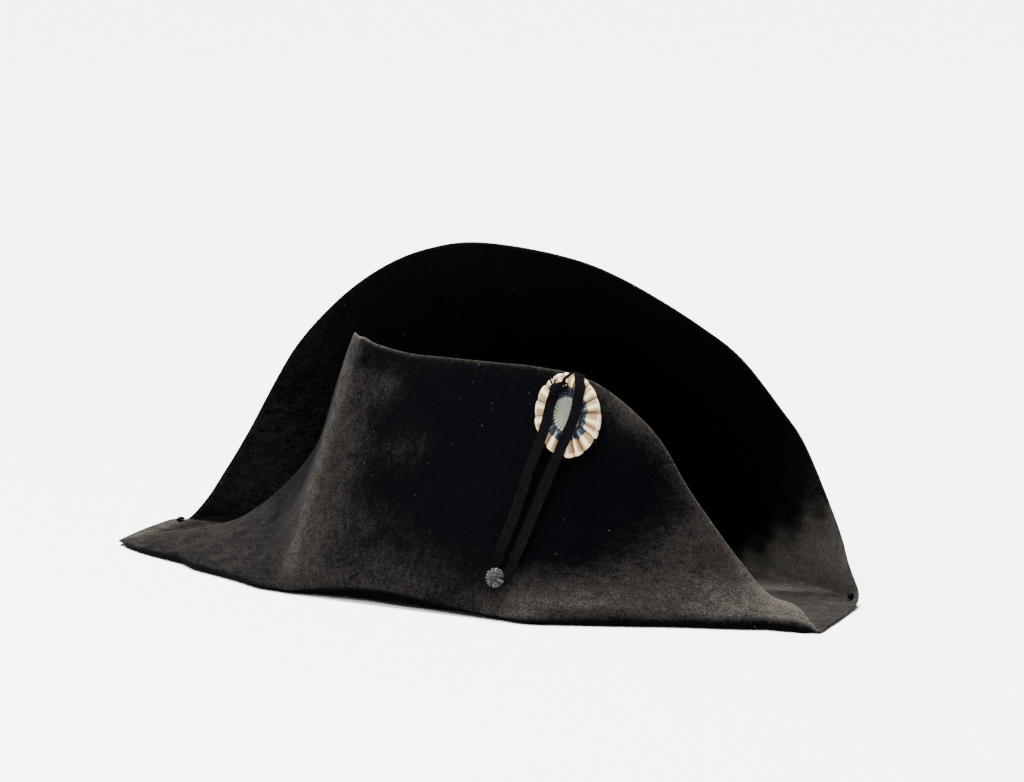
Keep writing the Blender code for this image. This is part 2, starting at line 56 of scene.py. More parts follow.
BODY = "root"
IMAGE_WIDTH = 1024
SENSOR_MM = 36.0
HALF_LENGTH = 0.240
HALF_DEPTH = 0.1045
FRONT_HEIGHT = 0.151
REAR_HEIGHT = 0.2005
FELT = 0.0022
SEAT = 0.0003
DARK_THREAD = (0.0005, 0.0005, 0.0008)
DARK_STRAND = (0.0042, 0.0040, 0.0045)


def unit(v: np.ndarray) -> np.ndarray:
    """Returns the vector's direction."""
    return v / np.linalg.norm(v)


def smooth_step(low: float, high: float, value: Any) -> Any:
    """Rises smoothly from 0 at low to 1 at high.

    Args:
        low: value at which the result is 0.
        high: value at which the result is 1.
        value: number or array to read.

    Returns:
        Numbers from 0 to 1, of value's form.
    """
    t = np.clip((value - low) / (high - low), 0.0, 1.0)
    return t * t * (3 - 2 * t)


def open_curve(points: Sequence[Sequence[float]], spacing: float) -> np.ndarray:
    """Samples a smooth curve through the points.

    Args:
        points: places that the curve passes.
        spacing: distance between samples, about.

    Returns:
        One sample a row.
    """
    pts = np.array(points, float)
    padded = np.vstack([2 * pts[0] - pts[1], pts, 2 * pts[-1] - pts[-2]])
    out = []
    for i in range(len(pts) - 1):
        a, b, c, d = padded[i:i + 4]
        steps = max(1, round(float(np.linalg.norm(c - b)) / spacing))
        for k in range(steps):
            t = k / steps
            out.append(0.5 * (2 * b + (c - a) * t + (2 * a - 5 * b + 4 * c - d) * t ** 2
                              + (3 * b - a - 3 * c + d) * t ** 3))
    out.append(pts[-1])
    return np.array(out)


class Wire:
    """A number, vector or colour on its way through a node tree."""

    def __init__(self, shader: "Shader", socket: bpy.types.NodeSocket) -> None:
        """Wraps one output socket of the shader's tree."""
        self.shader = shader
        self.socket = socket

    def math(self, operation: str, *others: Any) -> "Wire":
        """Adds a Math node.

        Args:
            operation: the node's operation, such as ADD.
            others: the operands after this one, wires or numbers.

        Returns:
            The node's value.
        """
        return self.shader.out("ShaderNodeMath", {"operation": operation}, (self, *others))

    def __add__(self, other: Any) -> "Wire":
        """Adds."""
        return self.math("ADD", other)

    __radd__ = __add__

    def __sub__(self, other: Any) -> "Wire":
        """Subtracts."""
        return self.math("SUBTRACT", other)

    def __rsub__(self, other: Any) -> "Wire":
        """Is subtracted from a number."""
        return self.shader.out("ShaderNodeMath", {"operation": "SUBTRACT"}, (other, self))

    def __mul__(self, other: Any) -> "Wire":
        """Multiplies."""
        return self.math("MULTIPLY", other)

    __rmul__ = __mul__

    def __truediv__(self, other: Any) -> "Wire":
        """Divides."""
        return self.math("DIVIDE", other)

    def band(self, low: float, high: float) -> "Wire":
        """Rises smoothly from 0 at low to 1 at high.

        Args:
            low: value at which the result is 0.
            high: value at which the result is 1.

        Returns:
            The share between them.
        """
        settings = {"interpolation_type": "SMOOTHSTEP"}
        inputs = {"Value": self, "From Min": low, "From Max": high}
        return self.shader.out("ShaderNodeMapRange", settings, inputs, "Result")

    def clamped(self) -> "Wire":
        """Keeps the number from 0 to 1."""
        return self.shader.out("ShaderNodeClamp", {}, {"Value": self}, "Result")


Feed = Union[Wire, float, Sequence[float]]


class Shader:
    """Node tree of one material, written as expressions."""

    def __init__(self, name: str) -> None:
        """Makes the material with its Principled shader.

        Args:
            name: the material's name.
        """
        self.material = bpy.data.materials.new(name)
        self.material.use_nodes = True
        self.tree = self.material.node_tree
        self.principled = self.tree.nodes["Principled BSDF"]

    def feed(self, socket: bpy.types.NodeSocket, value: Feed) -> None:
        """Links or sets one input socket.

        Args:
            socket: the socket to feed.
            value: a wire to link, or a number, vector or colour to set.
        """
        if isinstance(value, Wire):
            self.tree.links.new(value.socket, socket)
        elif socket.type == "RGBA" and len(value) == 3:
            socket.default_value = (*value, 1.0)
        else:
            socket.default_value = value

    def node(self, kind: str, settings: dict[str, Any], inputs: Any) -> bpy.types.Node:
        """Adds a node.

        Args:
            kind: the node's type name.
            settings: attributes that are set first.
            inputs: socket values or wires, by name, by number or in order.

        Returns:
            The node.
        """
        made = self.tree.nodes.new(kind)
        for name, value in settings.items():
            setattr(made, name, value)
        pairs = inputs.items() if isinstance(inputs, dict) else enumerate(inputs)
        for key, value in pairs:
            self.feed(made.inputs[key], value)
        return made

    def out(self, kind: str, settings: dict[str, Any], inputs: Any, output: Any = 0) -> Wire:
        """Adds a node and returns one of its outputs."""
        return Wire(self, self.node(kind, settings, inputs).outputs[output])

    def attribute(self, name: str) -> Wire:
        """Reads a number that the mesh holds at each point."""
        return self.out("ShaderNodeAttribute", {"attribute_name": name}, {}, "Fac")

    def place(self, scale: Sequence[float] = (1.0, 1.0, 1.0)) -> Wire:
        """Returns the point's own coordinates, scaled along each axis."""
        coords = self.out("ShaderNodeTexCoord", {}, {}, "Object")
        return self.out("ShaderNodeVectorMath", {"operation": "MULTIPLY"}, (coords, tuple(scale)))

    def joined(self, x: Feed, y: Feed, z: Feed = 0.0) -> Wire:
        """Makes a vector of three numbers."""
        return self.out("ShaderNodeCombineXYZ", {}, (x, y, z))

    def noise(self, vector: Wire, scale: float, detail: float = 3.0, rough: float = 0.55,
              warp: float = 0.0) -> Wire:
        """Makes soft noise about one half.

        Args:
            vector: where the noise is read.
            scale: waves per unit of the vector.
            detail: finer layers.
            rough: share of each finer layer.
            warp: how far the noise is bent.

        Returns:
            The noise as a number.
        """
        inputs = {"Vector": vector, "Scale": scale, "Detail": detail, "Roughness": rough,
                  "Distortion": warp}
        return self.out("ShaderNodeTexNoise", {}, inputs)

    def mix(self, low: Feed, high: Feed, share: Feed) -> Wire:
        """Mixes two colours.

        Args:
            low: colour where share is 0.
            high: colour where share is 1.
            share: how much of high shows.

        Returns:
            The mixed colour.
        """
        settings = {"data_type": "RGBA", "clamp_factor": True}
        return self.out("ShaderNodeMix", settings, {0: share, 6: low, 7: high}, 2)

    def bump(self, height: Wire, distance: float, strength: float = 1.0,
             normal: Optional[Wire] = None) -> Wire:
        """Turns heights into a bumped normal.

        Args:
            height: the relief.
            distance: depth that a height of 1 stands for.
            strength: share of the effect.
            normal: normal to start from, else the mesh's own.

        Returns:
            The bumped normal.
        """
        inputs: dict[str, Feed] = {"Height": height, "Distance": distance, "Strength": strength}
        if normal is not None:
            inputs["Normal"] = normal
        return self.out("ShaderNodeBump", {}, inputs)

    def dress(self, **inputs: Feed) -> bpy.types.Material:
        """Feeds the Principled shader.

        Args:
            inputs: values or wires by socket name, with _ for a space.

        Returns:
            The finished material.
        """
        for name, value in inputs.items():
            self.feed(self.principled.inputs[name.replace("_", " ")], value)
        return self.material


class Grain(Enum):
    """Direction in which a thread finish runs."""

    ALONG = "along"
    ROUND = "round"


@dataclass(frozen=True)
class FeltFinish:
    """Black beaver felt with a short nap, browned by sun on folds, wings and edges; its fade also
    carries painted shade along the folds and painted light inside the rear flap.
    """

    black: tuple = (0.0002, 0.0003, 0.0008)
    brown: tuple = (0.0142, 0.0125, 0.0109)
    bleached: tuple = (0.046, 0.0410, 0.035)
    worn: tuple = (0.090, 0.078, 0.060)
    dust_and_painted_light: tuple = (0.094, 0.087, 0.080)
    lint: tuple = (0.16, 0.15, 0.13)
    patches_per_metre: float = 30.0
    spots_per_metre: float = 105.0
    upright_nap: float = 300.0
    lying_nap: float = 330.0
    grain_per_metre: float = 820.0
    lint_per_metre: float = 190.0
    patch_weight: float = 0.85
    spot_weight: float = 0.75
    streak_weight: float = 1.50
    grain_weight: float = 3.80
    nap_height: float = 0.0008
    patch_height: float = 0.0030

    def material(self) -> bpy.types.Material:
        """Builds the material from the mesh's fade, rim, ridge and lay; the fade holds painted
        shade and painted light too.

        Returns:
            The material, ready to be put on a mesh.
        """
        s = Shader("napped_felt")
        flat = s.place()
        combed = s.place((1.0, 1.0, 0.30))
        patches = s.noise(flat, self.patches_per_metre, 4.0, 0.62) - 0.5
        spots = s.noise(flat, self.spots_per_metre, 3.0, 0.6) - 0.5
        upright = s.noise(combed, self.upright_nap, 3.0, 0.65, 0.5) - 0.5
        lying = s.noise(s.place((0.28, 0.6, 1.0)), self.lying_nap, 3.0, 0.65, 0.5) - 0.5
        streaks = upright + s.attribute("lay") * (lying - upright)
        grain = s.noise(flat, self.grain_per_metre, 4.0, 0.85) - 0.5
        fade_and_painted_light = s.attribute("fade_and_painted_light")
        rim = s.attribute("rim")
        ridge = s.attribute("ridge")
        mottle = (patches * self.patch_weight + spots * self.spot_weight
                  + streaks * self.streak_weight + grain * self.grain_weight)
        even = fade_and_painted_light.clamped()
        extra = (fade_and_painted_light - 1.0).clamped()
        tone = fade_and_painted_light - 0.02 + mottle * (even * (1.30 - even) * 0.80 + 0.19 + extra * 0.60)
        colour = s.mix(self.black, self.brown, tone.band(0.0, 0.66))
        colour = s.mix(colour, self.bleached, tone.band(0.60, 1.25))
        # Tones above 1.2 turn to a pale dusty brown: painted light on the rear flap's lower inside
        # and on the floor's right end.
        colour = s.mix(colour, self.dust_and_painted_light, tone.band(1.20, 2.40))
        line = (ridge * (0.70 + streaks * 1.8 + grain * 1.8)).clamped()
        colour = s.mix(colour, self.bleached, line * 0.42)
        cut = (rim * (0.80 + streaks * 2.4 + grain * 2.0)).clamped()
        colour = s.mix(colour, self.worn, cut * 0.75)
        pepper = (grain * 4.2 + 1.0).clamped()
        colour = s.mix(self.black, colour, 0.30 + pepper * 0.70)
        cells = s.out("ShaderNodeTexVoronoi", {"feature": "F1"},
                      {"Vector": flat, "Scale": self.lint_per_metre}, "Distance")
        chance = s.noise(flat, 70.0, 1.0)
        lint = (1.0 - cells.band(0.03, 0.085)) * chance.band(0.56, 0.64)
        colour = s.mix(colour, self.lint, lint * 0.45)
        wavy = s.bump(patches + spots * 0.5, self.patch_height, 0.30)
        nap = s.bump(streaks * 0.7 + grain, self.nap_height, 0.85, wavy)
        return s.dress(Base_Color=colour, Roughness=0.90 + grain * 0.20, Normal=nap,
                       Sheen_Weight=0.004, Sheen_Roughness=0.5, Specular_IOR_Level=0.015)


@dataclass(frozen=True)
class SilkFinish:
    """Gathered silk ribbon in three stripes, with painted shade in the valleys of its pleats and
    painted highlights on their crests.
    """

    white: tuple = (0.25, 0.26, 0.20)
    blue: tuple = (0.004, 0.008, 0.015)
    sheen: tuple = (0.13, 0.19, 0.24)
    cream: tuple = (0.21, 0.130, 0.058)
    pale: tuple = (0.64, 0.525, 0.325)
    shade: tuple = (0.085, 0.030, 0.009)
    slit: tuple = (0.010, 0.011, 0.010)
    blue_from: float = 0.405
    cream_from: float = 0.655
    blur: float = 0.020

    def material(self) -> bpy.types.Material:
        """Builds the material from the mesh's stripe, valley (painted shade) and crest (painted
        highlight).

        Returns:
            The material, ready to be put on a mesh.
        """
        s = Shader("gathered_silk")
        stripe = s.attribute("stripe")
        valley = s.attribute("valley")
        crest = s.attribute("crest")
        weave = s.noise(s.joined(stripe * 26.0, s.attribute("around") * 900.0), 1.0, 2.0) - 0.5
        soil = s.noise(s.place(), 420.0, 3.0) - 0.5
        outer = stripe.band(self.cream_from, self.cream_from + self.blur)
        ring = stripe.band(self.blue_from, self.blue_from + self.blur)
        # Painted sheen: the blue ring's lit pleat crests are mixed towards the pale sheen colour.
        blue = s.mix(self.blue, self.sheen, (crest.band(0.45, 1.0) * (0.85 + soil * 2.5)).clamped())
        # Painted highlight: the lit flank of each cream pleat is mixed towards pale.
        cream = s.mix(self.cream, self.pale, (crest.band(0.05, 0.85) + soil * 1.0).clamped())
        cream = s.mix(cream, self.pale, stripe.band(0.955, 0.985) * 0.6)
        colour = s.mix(s.mix(self.white, blue, ring), cream, outer)
        # Painted shade: the pleat valleys turn towards shade and the white centre's slits towards
        # slit.
        shade = s.mix(self.slit, self.shade, outer)
        colour = s.mix(colour, shade, (valley.band(0.30, 0.90) * (0.90 + soil * 1.4)).clamped())
        normal = s.bump(weave, 0.00012, 0.6)
        return s.dress(Base_Color=colour, Roughness=0.50 + soil * 0.2, Normal=normal,
                       Sheen_Weight=0.03, Specular_IOR_Level=0.25)


@dataclass(frozen=True)
class TapeFinish:
    """Black twill tape with fine diagonal ribs and two selvedges."""

    black: tuple = (0.0003, 0.0004, 0.0007)
    rib: tuple = (0.0086, 0.0086, 0.0090)
    edge: tuple = (0.0090, 0.0086, 0.0082)
    rib_pitch: float = 0.00135
    slant: float = 0.36
    yarn_slant: float = 0.35
    yarns_per_rib: float = 3.3
    half_width: float = 0.0031

    def material(self) -> bpy.types.Material:
        """Builds the material from the mesh's lengths along and across.

        Returns:
            The material, ready to be put on a mesh.
        """
        s = Shader("twill_tape")
        along = s.attribute("along")
        across = s.attribute("across")
        turns = 2 * math.pi / self.rib_pitch
        twill = ((across - along * self.slant) * turns).math("SINE") * 0.5 + 0.5
        yarns = turns * self.yarns_per_rib
        yarn = ((along - across * self.yarn_slant) * yarns).math("SINE") * 0.5 + 0.5
        soil = s.noise(s.place(), 260.0, 4.0) - 0.5
        from_middle = across.math("ABSOLUTE") / self.half_width
        selvedge = from_middle.band(0.80, 0.90)
        ribs = twill.band(0.72, 1.0) * (0.46 + yarn * 0.2 + soil * 2.0) * (1.0 - selvedge)
        colour = s.mix(self.black, self.rib, ribs.clamped())
        # Painted highlight: the outermost edges are mixed towards the paler edge colour, for light
        # caught by the raised selvedges.
        outermost = from_middle.band(0.90, 0.97) * (0.55 + soil * 2.4)
        colour = s.mix(colour, self.edge, outermost.clamped())
        normal = s.bump(twill * 0.8 + yarn * 0.2, 0.00014, 0.8)
        return s.dress(Base_Color=colour, Roughness=0.85, Normal=normal, Specular_IOR_Level=0.02)


@dataclass(frozen=True)
class ThreadFinish:
    """Twisted thread; its strands show as slanting lines."""

    name: str
    dark: tuple
    pale: tuple
    grain: Grain = Grain.ALONG
    pitch: float = 0.0011
    shine: float = 0.02

    def material(self) -> bpy.types.Material:
        """Builds the material from the mesh's length along the grain.

        Returns:
            The material, ready to be put on a mesh.
        """
        s = Shader(self.name)
        along = s.attribute(self.grain.value)
        strand = (along * (2 * math.pi / self.pitch) - math.pi / 2).math("SINE") * 0.5 + 0.5
        wear = s.noise(s.place(), 700.0, 3.0, 0.6)
        share = strand * strand * (0.25 + wear.band(0.38, 0.70) * 0.95)
        colour = s.mix(self.dark, self.pale, share.clamped())
        normal = s.bump(strand + wear * 0.6, 0.0001, 0.8)
        return s.dress(Base_Color=colour, Roughness=0.70, Normal=normal,
                       Specular_IOR_Level=self.shine)


@dataclass(frozen=True)
class FloorFinish:
    """Seamless white paper."""

    white: tuple = (0.94, 0.94, 0.94)

    def material(self) -> bpy.types.Material:
        """Builds the material.

        Returns:
            The material, ready to be put on a mesh.
        """
        s = Shader("white_paper")
        tooth = s.noise(s.place(), 900.0, 2.0)
        return s.dress(Base_Color=self.white, Roughness=0.9, Normal=s.bump(tooth, 0.0001, 0.1),
                       Specular_IOR_Level=0.1)


def mesh_piece(name: str, points: np.ndarray, faces: Sequence[Sequence[int]], finish: Any,
               values: dict[str, np.ndarray]) -> bpy.types.Object:
    """Makes a smooth-shaded mesh object.

    Args:
        name: the object's name.
        points: one vertex a row.
        faces: vertex numbers of each face.
        finish: finish that dresses it, with a material method.
        values: numbers that each vertex holds, by attribute name.

    Returns:
        The object, linked to the scene.
    """
    mesh = bpy.data.meshes.new(name)
    mesh.from_pydata([tuple(p) for p in points], [], [tuple(f) for f in faces])
    mesh.update()
    for key, numbers in values.items():
        layer = mesh.attributes.new(key, "FLOAT", "POINT")
        layer.data.foreach_set("value", np.asarray(numbers, np.float32))
    mesh.shade_smooth()
    mesh.materials.append(finish.material())
    thing = bpy.data.objects.new(name, mesh)
    bpy.context.scene.collection.objects.link(thing)
    return thing


def between_rings(rings: int, sides: int, first: int = 0) -> list:
    """Joins rings of points one after another.

    Args:
        rings: number of rings.
        sides: points in each ring.
        first: number of the first ring's first point.

    Returns:
        Faces of four point numbers.
    """
    faces = []
    for i in range(rings - 1):
        a, b = first + i * sides, first + (i + 1) * sides
        for k in range(sides):
            n = (k + 1) % sides
            faces.append((a + k, a + n, b + n, b + k))
    return faces


def tube(path: np.ndarray, radii: np.ndarray,
         sides: int = 8) -> tuple[np.ndarray, list, np.ndarray]:
    """Makes a round tube along a path.

    Args:
        path: middle points, one a row.
        radii: the tube's radius at each point.
        sides: points round the tube.

    Returns:
        Points, faces, and each point's length along the path.
    """
    ahead = np.gradient(path, axis=0)
    normal = unit(np.cross(ahead[0], [0.31, 0.52, 0.79]))
    rings, lengths, travelled = [], [], 0.0
    for i, place in enumerate(path):
        direction = unit(ahead[i])
        normal = unit(normal - direction * float(normal @ direction))
        other = np.cross(direction, normal)
        if i:
            travelled += float(np.linalg.norm(place - path[i - 1]))
        for k in range(sides):
            angle = 2 * math.pi * k / sides
            rings.append(place + (normal * math.cos(angle) + other * math.sin(angle)) * radii[i])
            lengths.append(travelled)
    last = (len(path) - 1) * sides
    caps = [tuple(range(sides - 1, -1, -1)), tuple(range(last, last + sides))]
    return np.array(rings), caps + between_rings(len(path), sides), np.array(lengths)


@dataclass
class Threads:
    """Several threads joined into one piece."""

    name: str
    finish: Any
    points: list = field(default_factory=list)
    faces: list = field(default_factory=list)
    along: list = field(default_factory=list)

    def add(self, path: np.ndarray, radius: float, taper: float = 0.5) -> None:
        """Adds a thread.

        Args:
            path: its middle points.
            radius: its radius in the middle.
            taper: share of the radius left at its last point.
        """
        share = np.linspace(0.0, 1.0, len(path))
        radii = radius * (1 - (1 - taper) * share ** 3)
        points, faces, lengths = tube(path, radii)
        start = sum(len(p) for p in self.points)
        self.points.append(points)
        self.faces += [tuple(start + i for i in face) for face in faces]
        self.along.append(lengths)

    def build(self) -> bpy.types.Object:
        """Makes the object."""
        points, along = np.concatenate(self.points), np.concatenate(self.along)
        return mesh_piece(self.name, points, self.faces, self.finish, {"along": along})


@dataclass(frozen=True)
class BrimRow:
    """One named section of the brim, as in the frame: shares of the hat's sizes."""

    at: float
    head: float
    fold_x: float
    fold_y: float
    lift: float
    edge_x: float
    lean: float
    edge_z: float
    hollow: float


def brim_rows(*rows: tuple) -> tuple[BrimRow, ...]:
    """Reads rows of numbers as sections of the brim."""
    return tuple(BrimRow(*row) for row in rows)


FRONT_FLAP = brim_rows(
    (0, 194, -0.969, -0.392, 0.00, -0.992, -1.20, 0.020, 0.00),
    (2, 197, -0.955, -0.478, 0.00, -0.957, 1.23, 0.037, 0.00),
    (4, 201, -0.892, -0.600, 0.00, -0.866, 2.24, 0.070, 0.00),
    (6, 207, -0.808, -0.728, 0.00, -0.767, 3.15, 0.096, -0.02),
    (8, 213, -0.710, -0.842, 0.00, -0.648, 2.64, 0.157, 0.00),
    (10, 219, -0.595, -0.888, 0.00, -0.513, 1.42, 0.329, 0.04),
    (12, 226, -0.490, -0.951, 0.00, -0.409, 0.930, 0.536, 0.06),
    (14, 234, -0.413, -0.996, 0.00, -0.329, 0.575, 0.808, 0.04),
    (16, 241, -0.352, -1.000, 0.03, -0.264, 0.400, 0.977, 0.01),
    (17, 244, -0.325, -1.006, 0.04, -0.241, 0.368, 1.000, 0.00),
    (19, 250, -0.258, -1.000, 0.30, -0.183, 0.369, 0.968, 0.00),
    (21, 258, -0.167, -1.000, 0.70, -0.100, 0.379, 0.944, 0.00),
    (24, 267, -0.042, -1.000, 0.84, 0.000, 0.381, 0.939, 0.00),
    (28, 280, 0.117, -1.000, 0.46, 0.150, 0.382, 0.936, 0.00),
    (32, 293, 0.267, -1.000, 0.08, 0.275, 0.388, 0.931, 0.00),
    (34, 303, 0.350, -1.005, 0.00, 0.362, 0.410, 0.914, 0.00),
    (36, 313, 0.446, -0.922, 0.00, 0.448, 0.397, 0.857, 0.00),
    (38, 322, 0.568, -0.812, 0.00, 0.556, 0.404, 0.718, 0.03),
    (41, 330, 0.695, -0.695, 0.00, 0.667, 0.498, 0.460, 0.06),
    (43, 337, 0.808, -0.615, 0.00, 0.771, 0.744, 0.252, 0.05),
    (45, 342, 0.893, -0.558, 0.00, 0.858, 1.290, 0.114, 0.02),
    (47, 346, 0.957, -0.510, 0.00, 0.941, 1.14, 0.081, 0.00),
    (49, 349, 0.987, -0.430, 0.00, 1.006, -1.00, 0.015, 0.00),
)
RIGHT_END = brim_rows(
    (51, 356, 0.979, -0.255, 0.00, 1.010, 0.00, 0.014, 0.00),
    (54, 366, 0.973, 0.038, 0.00, 1.006, 0.00, 0.016, 0.00),
    (56, 371, 0.968, 0.205, 0.00, 1.000, 0.00, 0.032, 0.00),
)
REAR_FLAP = brim_rows(
    (57, 374, 0.959, 0.275, 0.00, 0.990, 0.21, 0.047, 0.00),
    (58, 377, 0.935, 0.340, 0.00, 0.967, 0.36, 0.105, 0.00),
    (60, 384, 0.855, 0.435, 0.00, 0.926, 0.29, 0.222, -0.01),
    (62, 391, 0.768, 0.531, 0.00, 0.829, 0.19, 0.444, -0.02),
    (64, 398, 0.667, 0.636, 0.00, 0.750, 0.197, 0.546, -0.03),
    (66, 403, 0.588, 0.722, 0.00, 0.640, 0.222, 0.691, -0.03),
    (68, 408, 0.500, 0.823, 0.00, 0.531, 0.275, 0.780, -0.03),
    (71, 418, 0.350, 0.981, 0.00, 0.320, 0.358, 0.914, -0.02),
    (74, 430, 0.192, 1.000, 0.30, 0.160, 0.379, 0.975, -0.02),
    (77, 448, 0.000, 1.000, 0.60, -0.058, 0.384, 1.000, -0.02),
    (80, 466, -0.192, 1.000, 0.30, -0.217, 0.374, 0.968, -0.02),
    (83, 480, -0.350, 0.981, 0.00, -0.365, 0.362, 0.897, -0.02),
    (86, 492, -0.500, 0.828, 0.00, -0.514, 0.282, 0.779, -0.03),
    (89, 502, -0.650, 0.670, 0.00, -0.660, 0.206, 0.606, -0.03),
    (91, 507, -0.721, 0.598, 0.00, -0.727, 0.182, 0.484, -0.02),
    (93, 513, -0.800, 0.517, 0.00, -0.794, 0.161, 0.341, -0.02),
    (96, 521, -0.896, 0.426, 0.00, -0.872, 0.227, 0.176, 0.00),
    (98, 526, -0.942, 0.365, 0.00, -0.940, 0.32, 0.060, 0.00),
)
LEFT_END = brim_rows(
    (99, 529, -0.962, 0.300, 0.00, -0.977, 0.00, 0.017, 0.00),
    (100, 533, -0.967, 0.230, 0.00, -0.998, 0.00, 0.022, 0.00),
    (102, 540, -0.967, 0.029, 0.00, -1.004, 0.00, 0.024, 0.00),
    (105, 549, -0.967, -0.239, 0.00, -1.006, 0.00, 0.018, 0.00),
)


@dataclass(frozen=True)
class Fade:
    """One sun-browned patch of the front flap: its place, its reach and how brown it is."""

    x: float
    z: float
    reach_x: float
    reach_z: float
    depth: float


@dataclass
class FeltBody:
    """The hat's one piece of felt: crown, head opening, floor, folds and both flaps."""

    crown_height: float = 0.112
    head_half_width: float = 0.080
    front_ledge: float = 0.0065
    crown_room: float = 0.0022
    arch: float = 0.0085
    sag: float = 0.1
    fold_radius: float = 0.0028
    fold_share: float = 0.30
    head_radius: float = 0.0035
    stations: int = 107
    finer: int = 4
    crown: tuple = ((0.24, 0.980), (0.45, 0.915), (0.625, 0.800), (0.740, 0.640), (0.825, 0.460),
                    (0.910, 0.240))
    crown_steps: int = 4
    head_steps: int = 5
    floor_steps: int = 8
    fold_steps: int = 8
    flap_steps: int = 26
    rim_steps: int = 4
    edge_share: float = 0.42
    edge_reach: float = 0.007
    peak_at: float = 16.5
    ridge_at: float = 16.8
    ridge_width: float = 0.0042
    station_gap: float = 0.0052
    peak_rise: float = 0.0018
    peak_dip: float = 0.0012
    unevenness: float = 0.0007
    slow_waves: float = 22.0
    quick_waves: float = 55.0
    edge_fade: float = 0.009
    rim_wear: float = 0.0007
    paved_line: tuple = (0.33, 0.036, 0.2035)
    fades: tuple = (
        Fade(-0.190, 0.006, 0.085, 0.050, 0.36),
        Fade(-0.232, 0.004, 0.030, 0.020, 0.24),
        Fade(-0.115, 0.012, 0.045, 0.050, 0.18),
        Fade(-0.070, 0.030, 0.022, 0.040, 0.38),
        Fade(-0.066, 0.070, 0.016, 0.042, 0.46),
        Fade(-0.062, 0.128, 0.010, 0.034, 0.46),
        Fade(-0.048, 0.086, 0.012, 0.036, 0.26),
        Fade(-0.034, 0.122, 0.015, 0.011, 0.34),
        Fade(-0.014, 0.088, 0.018, 0.012, 0.24),
        Fade(-0.030, 0.046, 0.026, 0.014, 0.18),
        Fade(-0.015, 0.012, 0.055, 0.022, 0.38),
        Fade(0.090, 0.004, 0.036, 0.015, 0.86),
        Fade(0.135, 0.012, 0.046, 0.020, 0.60),
        Fade(0.190, 0.008, 0.046, 0.024, 0.74),
        Fade(0.160, 0.046, 0.024, 0.016, 0.34),
        Fade(0.126, 0.118, 0.013, 0.010, 0.30),
        Fade(0.105, 0.010, 0.032, 0.014, 0.42),
        Fade(0.218, 0.006, 0.036, 0.020, 0.60),
    )
    finish: FeltFinish = FeltFinish()

    def closed_curve(self, at: np.ndarray, knots: np.ndarray, values: np.ndarray) -> np.ndarray:
        """Reads a smooth closed curve that passes knots round the hat.

        Args:
            at: stations to read it at.
            knots: stations of the knots.
            values: the curve's value at each knot.

        Returns:
            The curve's value at each station.
        """
        period = self.stations
        xs = np.concatenate([knots[-2:] - period, knots, knots[:3] + period])
        ys = np.concatenate([values[-2:], values, values[:3]])
        step = np.diff(xs)
        rise = np.diff(ys) / step
        slope = np.empty_like(ys)
        slope[1:-1] = (step[1:] * rise[:-1] + step[:-1] * rise[1:]) / (step[:-1] + step[1:])
        slope[0], slope[-1] = rise[0], rise[-1]
        i = np.clip(np.searchsorted(xs, at, side="right") - 1, 0, len(step) - 1)
        t = (at - xs[i]) / step[i]
        square, cube = t * t, t ** 3
        return ((2 * cube - 3 * square + 1) * ys[i] + (cube - 2 * square + t) * step[i] * slope[i]
                + (3 * square - 2 * cube) * ys[i + 1] + (cube - square) * step[i] * slope[i + 1])

    def brim_values(self, at: np.ndarray) -> dict[str, np.ndarray]:
        """Reads the brim's columns as sizes in metres.

        Args:
            at: stations round the hat.

        Returns:
            The columns by name, one value a station.
        """
        rows = FRONT_FLAP + RIGHT_END + REAR_FLAP + LEFT_END
        names = ("at", "head", "fold_x", "fold_y", "lift", "edge_x", "lean", "edge_z", "hollow")
        table = {name: np.array([getattr(row, name) for row in rows], float) for name in names}
        knots = table.pop("at")
        turn = 360.0 / self.stations
        rear = (knots >= REAR_FLAP[0].at) & (knots <= REAR_FLAP[-1].at)
        table["head"] = table["head"] - knots * turn
        table["edge_z"] = table["edge_z"] * np.where(rear, REAR_HEIGHT, FRONT_HEIGHT)
        side = np.sign(table["fold_y"])
        table["edge_y"] = table["fold_y"] * HALF_DEPTH - side * table["lean"] * table["edge_z"]
        read = {name: self.closed_curve(at, knots, column) for name, column in table.items()}
        read["head"] = np.radians(read["head"] + at * turn)
        cusp = np.clip(1.0 - np.abs(at - self.peak_at) / 0.9, 0.0, 1.0) ** 1.5
        dip = np.exp(-((at - self.peak_at - 0.8) / 0.45) ** 2)
        read["edge_z"] = read["edge_z"] + self.peak_rise * cusp - self.peak_dip * dip
        return read

    def fold_run(self, at: np.ndarray) -> np.ndarray:
        """Finds the direction in which the fold runs round the hat.

        Args:
            at: stations round the hat.

        Returns:
            One level unit vector a station.
        """
        ahead, behind = self.brim_values(at + 1.0), self.brim_values(at - 1.0)
        run = np.stack([(ahead["fold_x"] - behind["fold_x"]) * HALF_LENGTH,
                        (ahead["fold_y"] - behind["fold_y"]) * HALF_DEPTH,
                        np.zeros(len(at))], axis=1)
        return run / np.linalg.norm(run, axis=1, keepdims=True)

    @staticmethod
    def rounded_corner(corner: np.ndarray, to_a: np.ndarray, to_b: np.ndarray, reach: float,
                       steps: int) -> list:
        """Rounds a corner with an arc that is tangent to both its sides.

        Args:
            corner: the sharp corner.
            to_a: direction of the side that comes first.
            to_b: direction of the other side.
            reach: distance from the corner to the arc's ends.
            steps: steps of the arc.

        Returns:
            The arc's points.
        """
        half = 0.5 * math.acos(max(-1.0, min(1.0, float(to_a @ to_b))))
        start, end, weight = corner + to_a * reach, corner + to_b * reach, math.sin(half)
        points = []
        for k in range(steps + 1):
            t = k / steps
            a, b, c = (1 - t) ** 2, 2 * t * (1 - t) * weight, t * t
            points.append((a * start + b * corner + c * end) / (a + b + c))
        return points

    @staticmethod
    def fillet_reach(to_a: np.ndarray, to_b: np.ndarray, radius: float, limit: float) -> float:
        """Returns the distance from a corner at which an arc of this radius meets its sides."""
        half = 0.5 * math.acos(max(-1.0, min(1.0, float(to_a @ to_b))))
        return min(max(radius / math.tan(max(half, 0.05)), 0.85 * radius), limit)

